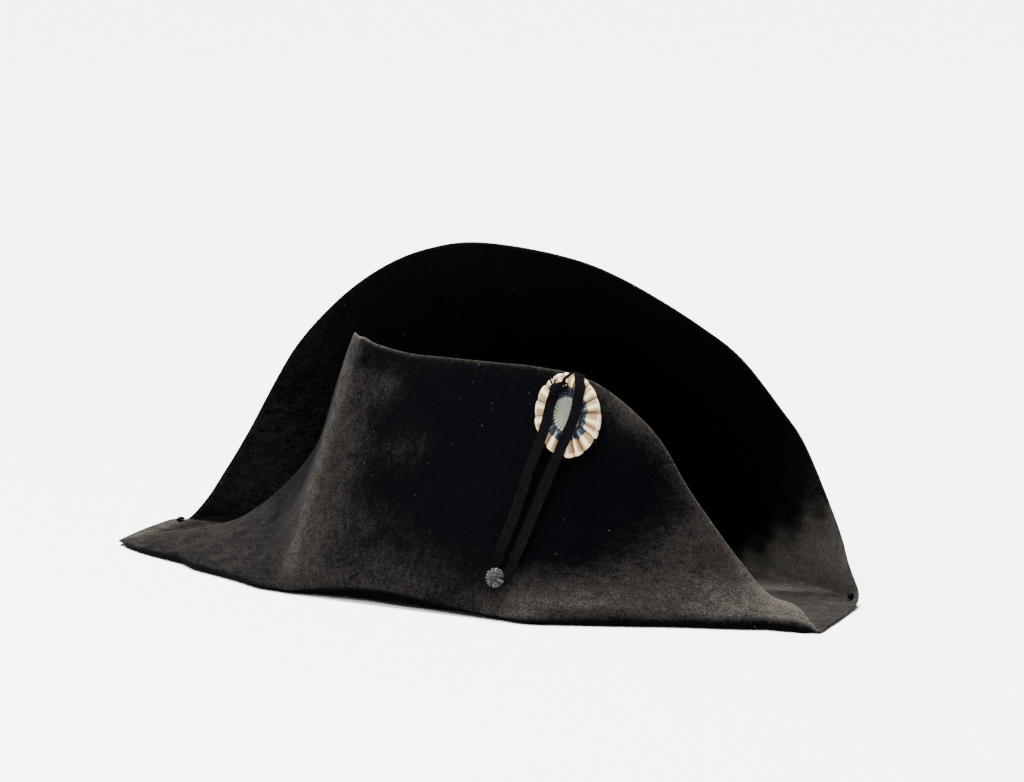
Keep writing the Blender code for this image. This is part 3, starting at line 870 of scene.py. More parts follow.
    def sections(self, at: np.ndarray) -> tuple[np.ndarray, np.ndarray, np.ndarray]:
        """Works out the felt's middle surface.

        Args:
            at: stations round the hat.

        Returns:
            The points by station and row, their distance from the cut edge, and their
            distance from the fold, below zero on the floor side.
        """
        read, runs = self.brim_values(at), self.fold_run(at)
        head_half_length = HALF_DEPTH - self.front_ledge
        ground = FELT / 2
        wall = open_curve([(0.0, 1.0), *self.crown, (1.0, 0.0)], 0.25 / self.crown_steps)[1:-1]
        lines, to_edge, from_fold = [], [], []
        for i, run in enumerate(runs):
            lift = max(0.0, read["lift"][i]) * self.arch
            angle = read["head"][i]
            head = np.array([self.head_half_width * math.cos(angle),
                             head_half_length * math.sin(angle), ground + self.sag * lift])
            fold = np.array([read["fold_x"][i] * HALF_LENGTH, read["fold_y"][i] * HALF_DEPTH,
                             ground + lift])
            edge = np.array([read["edge_x"][i] * HALF_LENGTH, read["edge_y"][i],
                             max(read["edge_z"][i], ground)])
            chord = edge - fold
            width = float(np.linalg.norm(chord))
            inward = unit(np.array([head[0] - fold[0], head[1] - fold[1], 0.0]))
            push = unit(inward - unit(chord) * float(inward @ unit(chord)))
            depth = read["hollow"][i] * width

            def flap(t: float) -> np.ndarray:
                """Returns the flap's point at this share of its way from fold to edge."""
                return fold + chord * t + push * depth * math.sin(math.pi * t ** 0.9)

            line = []
            for share, high in wall:
                z = head[2] + (self.crown_height - ground - head[2]) * high
                reach = share * float(np.linalg.norm(head[:2]))
                if z < edge[2]:
                    near = flap((z - fold[2]) / (edge[2] - fold[2]))
                    reach = min(reach, float(np.linalg.norm(near[:2])) - FELT - self.crown_room)
                line.append(np.array([*(unit(head[:2]) * reach), z]))
            floor_span = float(np.linalg.norm(fold - head))
            up, out = unit(line[-1] - head), unit(fold - head)
            head_reach = self.fillet_reach(up, out, self.head_radius, 0.4 * floor_span)
            line += self.rounded_corner(head, up, out, head_reach, self.head_steps)
            square_in = unit(inward - run * float(inward @ run))
            start = flap(0.03) - fold
            start = unit(start - run * float(start @ run))
            limit = self.fold_share * width
            fold_reach = self.fillet_reach(square_in, start, self.fold_radius, limit)
            turn = self.rounded_corner(fold, square_in, start, fold_reach, self.fold_steps)
            floor_start = line[-1]
            line += [floor_start + (turn[0] - floor_start) * k / self.floor_steps
                     for k in range(1, self.floor_steps)]
            line += turn
            first = fold_reach / width
            slip = turn[-1] - flap(first)
            for k in range(1, self.flap_steps + 1):
                share = 1.0 - (1.0 - k / self.flap_steps) ** 1.6
                line.append(flap(first + (1 - first) * share) + slip * (1 - share) ** 2)
            points = np.array(line)
            steps = np.linalg.norm(np.diff(points, axis=0), axis=1)
            walked = np.concatenate([[0.0], np.cumsum(steps)])
            middle = len(points) - 1 - self.flap_steps - self.fold_steps // 2
            lines.append(points)
            to_edge.append(walked[-1] - walked)
            from_fold.append(walked - walked[middle])
        return np.array(lines), np.array(to_edge), np.array(from_fold)

    def directions(self, grid: np.ndarray) -> tuple[np.ndarray, np.ndarray]:
        """Works out the middle surface's directions.

        Args:
            grid: points of the middle surface by station and row.

        Returns:
            The unit normals, and the directions down each section.
        """
        ahead = np.roll(grid, -1, 0) - grid
        ahead /= np.linalg.norm(ahead, axis=2, keepdims=True)
        round_hat = ahead + np.roll(ahead, 1, 0)
        step = np.diff(grid, axis=1)
        step /= np.linalg.norm(step, axis=2, keepdims=True)
        down = np.empty_like(grid)
        down[:, 1:-1] = step[:, 1:] + step[:, :-1]
        down[:, 0] = step[:, 0]
        down[:, -1] = step[:, -1]
        normal = np.cross(down, round_hat)
        return normal / np.linalg.norm(normal, axis=2, keepdims=True), down

    def wander(self, grid: np.ndarray, to_edge: np.ndarray) -> np.ndarray:
        """Makes the felt's slow unevenness, which fades out at the cut edge and the floor.

        Args:
            grid: points of the middle surface.
            to_edge: each point's distance from the cut edge.

        Returns:
            How far each point leaves the true surface.
        """
        waves = np.array([noise.noise(Vector(p) * self.slow_waves)
                          + 0.5 * noise.noise(Vector(p) * self.quick_waves)
                          for p in grid.reshape(-1, 3)])
        free = smooth_step(0.0, 0.012, to_edge) * smooth_step(0.002, 0.020, grid[..., 2])
        return waves.reshape(to_edge.shape) * self.unevenness * free

    def outer_browning_and_painted_shade(self, x: np.ndarray, z: np.ndarray, to_edge: np.ndarray,
                       from_fold: np.ndarray, front: np.ndarray) -> np.ndarray:
        """Works out how far the outer face has browned, and where shade is painted on it.

        Args:
            x: each point's place along the hat.
            z: each point's height.
            to_edge: each point's distance from the cut edge.
            from_fold: each point's distance from the fold, below zero on the floor side.
            front: true on the front flap's stations.

        Returns:
            Browning of each point, from 0 up, lowered where shade is painted.
        """
        clean = np.ones_like(z)
        for patch in self.fades:
            span = ((x - patch.x) / patch.reach_x) ** 2 + ((z - patch.z) / patch.reach_z) ** 2
            clean = clean * (1.0 - patch.depth * np.exp(-span))
        near_edge = np.exp(-to_edge / self.edge_fade)
        outer = 1.0 - clean + near_edge * (0.10 + 0.42 * smooth_step(0.060, 0.110, x))
        # Painted shade: close to the top edge left of the ridge, between x = -0.15 and -0.07 m, the
        # browning is cut by up to half.
        shaded = smooth_step(-0.150, -0.115, x) * smooth_step(-0.070, -0.085, x)
        outer = outer * (1.0 - 0.50 * shaded * np.exp(-(to_edge / 0.018) ** 2))
        outer = np.where(front, outer, 0.14 + 0.25 * smooth_step(0.10, 0.20, np.abs(x)))
        # Painted shade: the browning falls to black towards the fold, over a width of turn (1 mm in
        # the middle, 2 mm on the left wing, 6 mm on the right), for the fold's shaded underside.
        turn = (0.0010 + 0.0010 * smooth_step(-0.075, -0.110, x)
                + 0.0050 * smooth_step(0.060, 0.110, x))
        return outer * smooth_step(-0.0005, 1.0, from_fold / turn)

    def inner_browning_and_painted_light(self, grid: np.ndarray, at: np.ndarray,
                       from_fold: np.ndarray) -> np.ndarray:
        """Works out how far the inner face and the floor have browned, with painted light and shade
        on both.

        Args:
            grid: points of the middle surface.
            at: station of each section.
            from_fold: each point's distance from the fold, below zero on the floor side.

        Returns:
            Browning of each point, from just below 0 up, raised where light is painted.
        """
        x, y, z = grid[..., 0], grid[..., 1], grid[..., 2]
        slant, offset, start = self.paved_line
        behind = y - offset - slant * (x - start)
        ragged = 0.006 * np.sin(260.0 * x) + 0.004 * np.sin(610.0 * z)
        # Browning and painted light: where lit is high, the lower right of the rear flap's inside
        # is painted much paler, and paler still near the floor crease, for light that falls there.
        lit = smooth_step(0.110, 0.165, x - 1.4 * z + ragged)
        dusk = smooth_step(0.110, 0.200, x - 0.4 * z)
        low = smooth_step(0.055, 0.005, z) * smooth_step(0.150, 0.200, -x)
        reared = smooth_step(56.0, 58.5, at)[:, None]
        sun_and_painted_light = 0.66 + reared * (0.64 + 0.75 * smooth_step(0.050, 0.010, z))
        left = (0.40 * smooth_step(0.110, 0.200, -x) * smooth_step(0.150, 0.020, z) + 0.35 * low
                + 0.16 * smooth_step(0.05, 0.15, -x))
        inner = np.where(x > 0, sun_and_painted_light * lit + 0.22 * dusk * (1.0 - lit), left) - 0.04
        floor = smooth_step(0.004, -0.004, from_fold)
        # Painted light and shade: behind the slanted paved_line the floor is painted paler at the
        # right end and darker further in, for a crease that the shape lacks.
        far = (1.40 * smooth_step(0.130, 0.160, x) - 0.40) * smooth_step(-0.002, 0.002, behind)
        paved = np.where(x > 0, smooth_step(0.09, 0.19, x) * (0.66 + far),
                         0.30 * smooth_step(0.09, 0.19, -x))
        return inner + floor * (paved - inner)

    def wear(self, grid: np.ndarray, at: np.ndarray, to_edge: np.ndarray,
             from_fold: np.ndarray) -> tuple:
        """Works out where the felt has browned and worn, and where shade and light are painted on
        it.

        Args:
            grid: points of the middle surface.
            at: station of each section.
            to_edge: each point's distance from the cut edge.
            from_fold: each point's distance from the fold, below zero on the floor side.

        Returns:
            Browning and painted shade of the outer face, browning and painted light of the inner
            face, the paler line along the ridge, and the wear of the cut edge.
        """
        x, z = grid[..., 0], grid[..., 2]
        front = ((at < 49.5) | (at > 105.5))[:, None] & np.ones_like(z, bool)
        outer = self.outer_browning_and_painted_shade(x, z, to_edge, from_fold, front)
        inner = self.inner_browning_and_painted_light(grid, at, from_fold)
        off_ridge = (at - self.ridge_at)[:, None] * self.station_gap
        ridge = np.exp(-(off_ridge / self.ridge_width) ** 2) * front
        ridge = ridge * smooth_step(0.0, 0.02, from_fold)
        rim = np.where(front, 0.30 + 0.60 * np.exp(-((x + 0.058) / 0.022) ** 2)
                       + 0.70 * np.exp(-((x + 0.141) / 0.004) ** 2), 0.10)
        return outer, inner, ridge, rim * np.exp(-(to_edge / self.rim_wear) ** 2)

    def build(self) -> bpy.types.Object:
        """Builds the felt's solid with both faces and a rounded cut edge.

        Returns:
            The object, linked to the scene.
        """
        count = self.stations * self.finer
        at = np.arange(count) / self.finer
        grid, to_edge, from_fold = self.sections(at)
        normal, down = self.directions(grid)
        grid = grid + normal * self.wander(grid, to_edge)[..., None]
        top = np.array([0.0, 0.0, self.crown_height - FELT / 2])
        outward = -1.0 if normal[0, 0, 2] > 0 else 1.0
        outer_brown_and_painted_shade, inner_brown_and_painted_light, ridge, rim = self.wear(grid, at, to_edge, from_fold)
        taper = self.edge_share + (1 - self.edge_share) * smooth_step(0.0, self.edge_reach, to_edge)
        half = normal * outward * (FELT / 2 * taper)[..., None]
        tip = down[:, -1] / np.linalg.norm(down[:, -1], axis=1, keepdims=True)
        columns = [grid + half]
        fades, rims, ridges = [outer_brown_and_painted_shade], [rim], [ridge]
        turned = []
        for k in range(1, self.rim_steps):
            angle = math.pi * k / self.rim_steps
            swell = 0.5 * FELT * self.edge_share * math.sin(angle)
            turned.append(grid[:, -1] + half[:, -1] * math.cos(angle) + tip * swell)
        columns += [np.stack(turned, axis=1), (grid - half)[:, ::-1]]
        fades += [np.repeat(outer_brown_and_painted_shade[:, -1:], self.rim_steps - 1, 1), inner_brown_and_painted_light[:, ::-1]]
        rims += [np.repeat(rim[:, -1:], self.rim_steps - 1, 1), rim[:, ::-1]]
        ridges += [np.repeat(ridge[:, -1:], self.rim_steps - 1, 1), ridge[:, ::-1] * 0.0]
        sheet = np.concatenate(columns, axis=1)
        rows = sheet.shape[1]
        off = np.array([0.0, 0.0, FELT / 2 * outward])
        points = np.concatenate([sheet.reshape(-1, 3), [top + off, top - off]])
        ends = (count * rows, count * rows + 1)
        faces = []
        for s in range(count):
            here, there = s * rows, (s + 1) % count * rows
            faces.append((ends[0], there, here))
            faces.append((ends[1], here + rows - 1, there + rows - 1))
            for r in range(rows - 1):
                faces.append((here + r, there + r, there + r + 1, here + r + 1))
        values = {}
        for name, parts in (("fade_and_painted_light", fades), ("rim", rims), ("ridge", ridges)):
            values[name] = np.concatenate([np.concatenate(parts, axis=1).reshape(-1), [0.0, 0.0]])
        outward_x = np.abs(points[:, 0]) + 0.4 * (0.05 - points[:, 2])
        values["lay"] = smooth_step(0.075, 0.125, outward_x)
        piece = mesh_piece("napped_felt", points, faces, self.finish, values)
        log.info("felt: %d stations, %d rows", count, rows)
        return piece


class FeltSeat:
    """Finds the front flap's outer face, and how far other pieces stand out of it."""

    def __init__(self, felt: bpy.types.Object) -> None:
        """Makes the search tree of the felt's faces."""
        self.felt = self.tree_of(felt)
        self.stacked: list[BVHTree] = []

    @staticmethod
    def tree_of(thing: bpy.types.Object) -> BVHTree:
        """Makes a search tree of an object's faces.

        Args:
            thing: the mesh object.

        Returns:
            The tree.
        """
        mesh = thing.data
        return BVHTree.FromPolygons([v.co.copy() for v in mesh.vertices],
                                    [tuple(p.vertices) for p in mesh.polygons])

    def point(self, x: float, z: float) -> tuple[np.ndarray, np.ndarray]:
        """Finds the felt straight behind a place in the front view.

        Args:
            x: the place along the hat.
            z: its height.

        Returns:
            The place on the felt and its outward direction.
        """
        hit, normal, _, _ = self.felt.ray_cast(Vector((x, -2 * HALF_DEPTH, z)), Vector((0, 1, 0)))
        if hit is None:
            raise ValueError("no felt behind this place")
        return np.array(hit), np.array(-normal if normal.y > 0 else normal)

    def drop(self, place: np.ndarray, normal: np.ndarray, tree: Optional[BVHTree] = None) -> float:
        """Measures how high the face under a place lies, along the normal.

        Args:
            place: the place to measure from.
            normal: direction away from the felt.
            tree: faces to meet, else the felt's.

        Returns:
            The height, or 0 where no face is met.
        """
        start = Vector(place + normal * 0.02)
        hit, _, _, distance = (tree or self.felt).ray_cast(start, Vector(-normal), 0.04)
        return 0.0 if hit is None else 0.02 - distance

    def rise(self, place: np.ndarray, normal: np.ndarray) -> float:
        """Measures the pieces already seated at a place.

        Args:
            place: a place on the felt.
            normal: direction away from the felt.

        Returns:
            Their height over the place.
        """
        best = 0.0
        for tree in self.stacked:
            best = max(best, self.drop(place, normal, tree))
        return best


def face_axes(normal: np.ndarray, tilt: float) -> tuple[np.ndarray, np.ndarray]:
    """Finds sideways and upward directions in a face.

    Args:
        normal: the face's outward direction.
        tilt: angle by which both are turned.

    Returns:
        The sideways and the upward direction.
    """
    side = unit(np.cross([0.0, 0.0, 1.0], normal))
    up = unit(np.cross(normal, side))
    cos, sin = math.cos(tilt), math.sin(tilt)
    return side * cos + up * sin, up * cos - side * sin


@dataclass
class Cockade:
    """Oval rosette of one striped ribbon, gathered along its white edge."""

    at_x: float = 0.3665 * HALF_LENGTH
    at_z: float = 0.768 * FRONT_HEIGHT
    tilt: float = math.radians(9.0)
    width: float = 0.0385
    length: float = 0.0500
    thickness: float = 0.0021
    gather_rise: float = 0.0004
    pleat_rise: float = 0.0015
    pressed_share: float = 0.55
    outer_pleats: int = 18
    inner_pleats: int = 32
    spokes: int = 540
    rings: int = 60
    seed: int = 11
    finish: SilkFinish = SilkFinish()

    def pleat_phase(self, pleats: int, salt: int) -> np.ndarray:
        """Returns the running number of pleats at each spoke, unevenly spaced.

        Args:
            pleats: pleats in a full round.
            salt: changes the chance pattern.

        Returns:
            Pleat number, rising from 0 to pleats.
        """
        draw = random.Random(self.seed + salt)
        widths = np.array([draw.uniform(0.60, 1.45) for _ in range(pleats)])
        knots = np.concatenate([[0.0], np.cumsum(widths)]) / widths.sum()
        return np.interp(np.arange(self.spokes) / self.spokes, knots, np.arange(pleats + 1))

    @staticmethod
    def petal(phase: np.ndarray) -> np.ndarray:
        """Returns the height of a puffed pleat at this phase: sharp valleys, a round crest."""
        t = phase % 1.0
        return np.abs(np.sin(math.pi * t ** 0.75)) ** 0.55

    def build(self, seat: FeltSeat) -> bpy.types.Object:
        """Builds the rosette on the felt.

        Args:
            seat: the felt to set it on.

        Returns:
            The object, linked to the scene.
        """
        centre, normal = seat.point(self.at_x, self.at_z)
        side, up = face_axes(normal, self.tilt)
        draw = random.Random(self.seed)
        outer = self.pleat_phase(self.outer_pleats, 1)
        inner = self.pleat_phase(self.inner_pleats, 2)
        jitter = np.array([draw.uniform(-1, 1) for _ in range(self.outer_pleats)])
        lift = np.array([draw.uniform(0.55, 1.25) for _ in range(self.outer_pleats)])
        number = np.minimum(outer.astype(int), self.outer_pleats - 1)
        scallop = 1 + 0.020 * jitter[number] + 0.030 * (self.petal(outer) - 0.6)
        angles = 2 * math.pi * np.arange(self.spokes) / self.spokes
        points, values = [], {"stripe": [], "valley": [], "crest": [], "around": []}

        def seated(angle: float, reach: float) -> np.ndarray:
            """Finds a place of the oval on the felt.

            Args:
                angle: angle round the oval.
                reach: share of the way from its middle to its rim.

            Returns:
                The place.
            """
            flat = (centre + side * math.cos(angle) * reach * self.width / 2
                    + up * math.sin(angle) * reach * self.length / 2)
            return flat + normal * (seat.drop(flat, normal) + SEAT)

        for ring in range(self.rings + 1):
            share = 0.02 + 0.98 * ring / self.rings
            folds = smooth_step(0.34, 0.60, share)
            twist = 0.18 * folds * jitter[number] * (share - 0.5)
            height = (1 - folds) * self.petal(inner) + folds * self.petal(outer + twist)
            gathers = self.gather_rise * smooth_step(0.0, 0.2, share)
            swell = gathers + self.pleat_rise * folds * lift[number]
            dome = 0.80 * self.thickness * (0.55 + 0.45 * smooth_step(0.0, 0.35, share))
            dome *= 1 - 0.75 * smooth_step(0.93, 1.0, share) ** 2
            # Painted shade and highlight: crease marks the centre's slits and the pleat valleys for
            # painted shade, side_lit one flank of each outer pleat for a painted highlight.
            slits = 1 - np.abs(np.sin(math.pi * inner))
            crease = (1 - folds) * slits ** 0.7 * 1.5 + folds * (1 - height) ** 1.2
            side_lit = np.exp(-(((outer + twist) % 1.0 - 0.36) / 0.17) ** 2)
            for k, angle in enumerate(angles):
                reach = share * (1 + (scallop[k] - 1) * smooth_step(0.5, 1.0, share))
                pressed = 1 - self.pressed_share * smooth_step(0.62, 0.92, math.sin(angle) * reach)
                stand = dome + swell[k] * height[k]
                points.append(seated(angle, reach) + normal * stand * pressed)
                wave = 0.055 * jitter[number[k]] + 0.03 * (height[k] - 0.5)
                values["stripe"].append(share + wave * folds)
                values["valley"].append(crease[k] * (0.75 + 0.45 * folds * lift[number[k]]))
                values["crest"].append(side_lit[k] * (0.30 + 0.70 * lift[number[k]]) * folds)
                values["around"].append(angle * 0.02)
        front = len(points)
        for share in (1.0, 0.5):
            for k, angle in enumerate(angles):
                points.append(seated(angle, share * (scallop[k] if share == 1.0 else 1.0)))
                for name, value in (("stripe", 1.0), ("valley", 0.4), ("crest", 0.0),
                                    ("around", angle * 0.02)):
                    values[name].append(value)
        points += [centre + normal * (SEAT + 0.45 * self.thickness), centre + normal * SEAT]
        for name, pair in (("stripe", (0.0, 0.5)), ("valley", (0.6, 0.5)), ("crest", (0.0, 0.0)),
                           ("around", (0.0, 0.0))):
            values[name] += pair
        faces = []
        n = self.spokes
        hub = len(points) - 2
        for k in range(n):
            m = (k + 1) % n
            faces.append((hub, k, m))
            for ring in range(self.rings + 2):
                faces.append((ring * n + k, (ring + 1) * n + k, (ring + 1) * n + m, ring * n + m))
            faces.append((hub + 1, front + n + m, front + n + k))
        return mesh_piece("gathered_cockade", np.array(points), faces, self.finish,
                          {key: np.array(column) for key, column in values.items()})


@dataclass
class LoopTape:
    """One tape from the cockade down round the button's shank and up over the flap's edge."""

    width: float = 0.0062
    thickness: float = 0.0006
    tail: float = 0.012
    button_x: float = 0.255 * HALF_LENGTH
    button_z: float = 0.154 * FRONT_HEIGHT
    button_radius: float = 0.0055
    spacing: float = 0.0012
    columns: int = 10
    bend_steps: int = 10
    tail_steps: int = 8
    probes: tuple = (-1.0, -0.66, -0.33, 0.0, 0.33, 0.66, 1.0)
    turn_height: float = 1.6
    left: tuple = ((0.333, 0.868), (0.327, 0.800), (0.320, 0.695), (0.296, 0.509), (0.2815, 0.386),
                   (0.2620, 0.272), (0.2500, 0.212))
    turn: tuple = ((-2.9, 2.0, 0.55), (-2.9, -0.4, 0.46), (-1.9, -2.5, 0.42), (0.4, -3.4, 0.42),
                   (2.9, -2.9, 0.50), (4.9, -1.0, 0.66), (6.2, 1.4, 0.80))
    right: tuple = ((0.387, 0.868), (0.386, 0.762), (0.368, 0.638), (0.3475, 0.515), (0.329, 0.392),
                    (0.312, 0.290), (0.2975, 0.229), (0.2890, 0.195))
    crossing: float = 34.4
    finish: TapeFinish = TapeFinish()

    def flat_route(self) -> np.ndarray:
        """Lays out the tape's route as seen from the front.

        Returns:
            The places (x, z) and the share of the full width at each.
        """
        scale = np.array([HALF_LENGTH, FRONT_HEIGHT])
        button = np.array([self.button_x, self.button_z, 0.0])
        turn = np.array(self.turn) * (0.001, 0.001, 1.0) + button
        runs = []
        for run, low_share in ((self.left, 0.80), (self.right, 0.86)):
            places = np.array(run) * scale
            shares = np.ones(len(run))
            shares[-1] = low_share
            runs.append(np.column_stack([places, shares]))
        return open_curve(np.vstack([runs[0], turn, runs[1][::-1]]), self.spacing)

    @staticmethod
    def pulled_tight(heights: np.ndarray) -> np.ndarray:
        """Draws a tape tight over uneven ground.

        Args:
            heights: heights of the ground along the tape.

        Returns:
            The tape's heights: the ground's upper hull.
        """
        hull = [0]
        for i in range(1, len(heights)):
            while len(hull) > 1:
                a, b = hull[-2:]
                if (heights[b] - heights[a]) * (i - a) > (heights[i] - heights[a]) * (b - a):
                    break
                hull.pop()
            hull.append(i)
        return np.interp(np.arange(len(heights)), hull, heights[hull])

    def over_edge(self, felt: FeltBody) -> list:
        """Carries the route over the flap's cut edge and down inside.

        Args:
            felt: the felt, whose sections give the edge.

        Returns:
            Places with their outward directions and the direction along the edge.
        """
        line = felt.sections(np.array([self.crossing - 0.2, self.crossing, self.crossing + 0.2]))[0]
        rim = line[1, -1]
        along = unit(line[2, -1] - line[0, -1])
        rise = unit(line[1, -1] - line[1, -2])
        outward = unit(np.cross(rise, along))
        outward = -outward if outward[1] > 0 else outward
        rise = unit(np.cross(along, outward))
        rise = -rise if rise[2] < 0 else rise
        thin = felt.edge_share * FELT / 2
        route = []
        for k in range(self.bend_steps + 1):
            angle = math.pi * k / self.bend_steps
            out = outward * math.cos(angle) + rise * math.sin(angle)
            route.append((rim + out * thin, out))
        for k in range(1, self.tail_steps + 1):
            inside = outward * max(thin, FELT / 2 * min(1.0, k / 4))
            route.append((rim - inside - rise * self.tail * k / self.tail_steps, -outward))
        return [(place, out, along) for place, out in route]

    def build(self, seat: FeltSeat, felt: FeltBody) -> bpy.types.Object:
        """Builds the tape over the felt and the cockade.

        Args:
            seat: the felt and what is seated on it.
            felt: the felt, for its cut edge.

        Returns:
            The object, linked to the scene.
        """
        flat = self.flat_route()
        route = [seat.point(x, z) for x, z, _ in flat]
        shares = list(flat[:, 2])
        places = np.array([p for p, _ in route])
        ahead = np.gradient(places, axis=0)
        stations, rises = [], []
        for i, (place, normal) in enumerate(route):
            side = unit(np.cross(unit(ahead[i]), normal))
            rises.append(max(seat.rise(place + side * s * self.width / 2, normal)
                             for s in self.probes))
            stations.append((place, normal, side))
        stands = np.array([max(rises[max(0, i - 2):i + 3]) for i in range(len(rises))])
        high = places[:, 2] > self.button_z + self.turn_height * self.button_radius
        down, up = int(np.argmin(high)), len(high) - int(np.argmin(high[::-1]))
        stands[:down + 1] = self.pulled_tight(stands[:down + 1])
        stands[up - 1:] = self.pulled_tight(stands[up - 1:])
        stands = list(stands + 1.5 * SEAT)
        last_side, last_stand = stations[-1][2], stands[-1]
        for k, (place, out, along) in enumerate(self.over_edge(felt)):
            stations.append((place, out, along if along @ last_side > 0 else -along))
            stands.append(max(SEAT, last_stand * max(0.0, 1 - k / 5) ** 1.3))
            shares.append(1.0)
        return self.band(stations, stands, shares)

    def band(self, stations: list, stands: list, shares: list) -> bpy.types.Object:
        """Makes the tape's solid: crowned faces between two thick selvedges.

        Args:
            stations: places with their outward and sideways directions.
            stands: the tape's height over each place.
            shares: share of the full width at each place.

        Returns:
            The object, linked to the scene.
        """
        points, along, across = [], [], []
        travelled = 0.0
        ring = 2 * self.columns
        for i, (place, out, side) in enumerate(stations):
            if i:
                travelled += float(np.linalg.norm(place - stations[i - 1][0]))
            for k in range(ring):
                top = k >= self.columns
                j = ring - 1 - k if top else k
                share = -1 + 2 * j / (self.columns - 1)
                edge = smooth_step(0.70, 0.95, abs(share))
                depth = self.thickness * (0.80 + 0.20 * edge) if top else 0.0
                sideways = side * share * shares[i] * self.width / 2
                points.append(place + out * (stands[i] + depth) + sideways)
                along.append(travelled)
                across.append(share * self.width / 2)
        caps = [tuple(range(ring)), tuple(len(points) - 1 - i for i in range(ring))]
        faces = caps + between_rings(len(stations), ring)
        return mesh_piece("twill_loop", np.array(points), faces, self.finish,
                          {"along": np.array(along), "across": np.array(across)})


@dataclass
class ThreadButton:
    """Dome covered with thread wound across it in four fans, on a thin shank."""

    at_x: float = 0.255 * HALF_LENGTH
    at_z: float = 0.154 * FRONT_HEIGHT
    radius: float = 0.0054
    rise: float = 0.0036
    shank: float = 0.0008
    under: float = 0.0018
    tilt: float = math.radians(38.0)
    threads: int = 26
    spokes: int = 390
    rings: int = 26
    seed: int = 5
    thread_rise: float = 0.00032
    finish: ThreadFinish = ThreadFinish("wound_thread", (0.0020, 0.0017, 0.0020),
                                        (0.135, 0.116, 0.112), Grain.ROUND, 1.0, 0.10)

    def build(self, seat: FeltSeat) -> bpy.types.Object:
        """Builds the button on the felt.

        Args:
            seat: the felt to set it on.

        Returns:
            The object, linked to the scene.
        """
        centre, normal = seat.point(self.at_x, self.at_z)
        side, up = face_axes(normal, self.tilt)
        neck = self.shank / self.radius
        profile = [(neck, SEAT, 0.0), (neck, self.under, 0.0), (0.86, self.under, 0.0)]
        for k in range(self.rings + 1):
            turn = math.pi * (-0.25 + 0.75 * k / self.rings)
            reach = max(0.015, math.cos(turn) if turn > 0 else 1.0 - 0.10 * turn ** 2)
            profile.append((reach, self.under + self.rise * (0.22 + 0.78 * math.sin(turn)), 1.0))
        points, along = [centre + normal * SEAT], [0.0]
        draw = random.Random(self.seed)
        uneven = [draw.uniform(-1, 1) for _ in range(self.threads)]
        for reach, height, covered in profile:
            for k in range(self.spokes):
                angle = 2 * math.pi * k / self.spokes
                phase = self.threads * (k / self.spokes + 0.02 * math.sin(4 * angle))
                cord = abs(math.sin(math.pi * phase))
                loose = uneven[int(phase) % self.threads]
                swell = covered * self.thread_rise * (cord + 0.6 * loose)
                swell *= smooth_step(0.0, 0.25, reach)
                radius = reach * self.radius * (1 + 0.015 * covered * loose)
                points.append(centre + normal * (height + swell)
                              + (side * math.cos(angle) + up * math.sin(angle)) * (radius + swell))
                along.append(phase + 0.25 * loose)
        points.append(centre + normal * (self.under + self.rise))
        along.append(0.0)
        faces = between_rings(len(profile), self.spokes, 1)
        last = len(points) - 1
        top = last - self.spokes
        for k in range(self.spokes):
            m = (k + 1) % self.spokes
            faces += [(0, 1 + m, 1 + k), (top + k, top + m, last)]
        return mesh_piece("wound_button", np.array(points), faces, self.finish,
                          {"round": np.array(along)})


@dataclass
class StitchKnot:
    """Tuft of black thread that ties the tape's left end, with its frayed tails."""

    at_x: float = 0.341 * HALF_LENGTH
    at_z: float = 0.860 * FRONT_HEIGHT
    tilt: float = math.radians(12.0)
    thread: float = 0.00042
    turns: int = 10
    lowest: float = -3.4
    highest: float = 1.8
    seed: int = 3
    unit_length: float = 0.00118
    spacing: float = 0.0004
    balls: int = 12
    tails: tuple = (((-3.0, 1.2, 0.8), (-3.7, 3.6, 1.0), (-4.0, 6.4, 0.6)),
                    ((-2.6, 1.2, 0.8), (-1.6, 3.2, 1.0), (0.0, 4.6, 0.7)),
                    ((1.0, 0.6, 1.3), (3.6, 4.0, 1.6), (6.8, 6.0, 1.2), (9.8, 6.6, 0.7)),
                    ((1.4, 0.2, 1.3), (3.9, 3.4, 1.6), (6.8, 5.4, 1.2), (9.4, 6.3, 0.7)))
    finish: ThreadFinish = ThreadFinish("black_thread", DARK_THREAD, DARK_STRAND)

    def build(self, seat: FeltSeat) -> bpy.types.Object:
        """Builds the knot on the tape.

        Args:
            seat: the felt and what is seated on it.

        Returns:
            The object, linked to the scene.
        """
        place, normal = seat.point(self.at_x, self.at_z)
        side, up = face_axes(normal, self.tilt)
        ground = seat.rise(place, normal)
        draw = random.Random(self.seed)
        threads = Threads("thread_knot", self.finish)

        def spot(across: float, high: float, out: float) -> np.ndarray:
            """Returns a place over the tape, from distances in the knot's unit."""
            return (place + (side * across + up * high) * self.unit_length
                    + normal * (ground + 0.0004 + out * 0.001))

        for turn in range(self.turns):
            high = self.lowest + (self.highest - self.lowest) * turn / (self.turns - 1)
            lean = draw.uniform(-0.8, 0.8)
            out = draw.uniform(0.5, 1.5)
            reach = draw.uniform(4.0, 5.4)
            path = [spot(-reach, high - lean, 0.2), spot(-2.2, high, 0.4 + 0.6 * out),
                    spot(0.4, high + 0.5 * lean, 0.7 + out),
                    spot(2.8, high + lean, 0.3 + 0.6 * out), spot(reach, high + lean + 0.4, 0.2)]
            threads.add(open_curve(path, self.spacing), self.thread * draw.uniform(0.9, 1.3))
        for _ in range(self.balls):
            turn = draw.uniform(0, math.pi)
            reach = draw.uniform(0.8, 1.3)
            ball = [spot(0.4 + 3.0 * reach * math.cos(turn + a) + draw.uniform(-0.5, 0.5),
                         -0.8 + 2.4 * reach * math.sin(turn * 2 + a), 1.1 + 0.8 * math.sin(a))
                    for a in (0.0, 0.9, 1.8, 2.7, 3.6, 4.5)]
            threads.add(open_curve(ball, self.spacing), self.thread)
        for tail in self.tails:
            path = [spot(*place_in_knot) for place_in_knot in tail]
            threads.add(open_curve(path, self.spacing), self.thread * 1.5, 0.25)
        return threads.build()


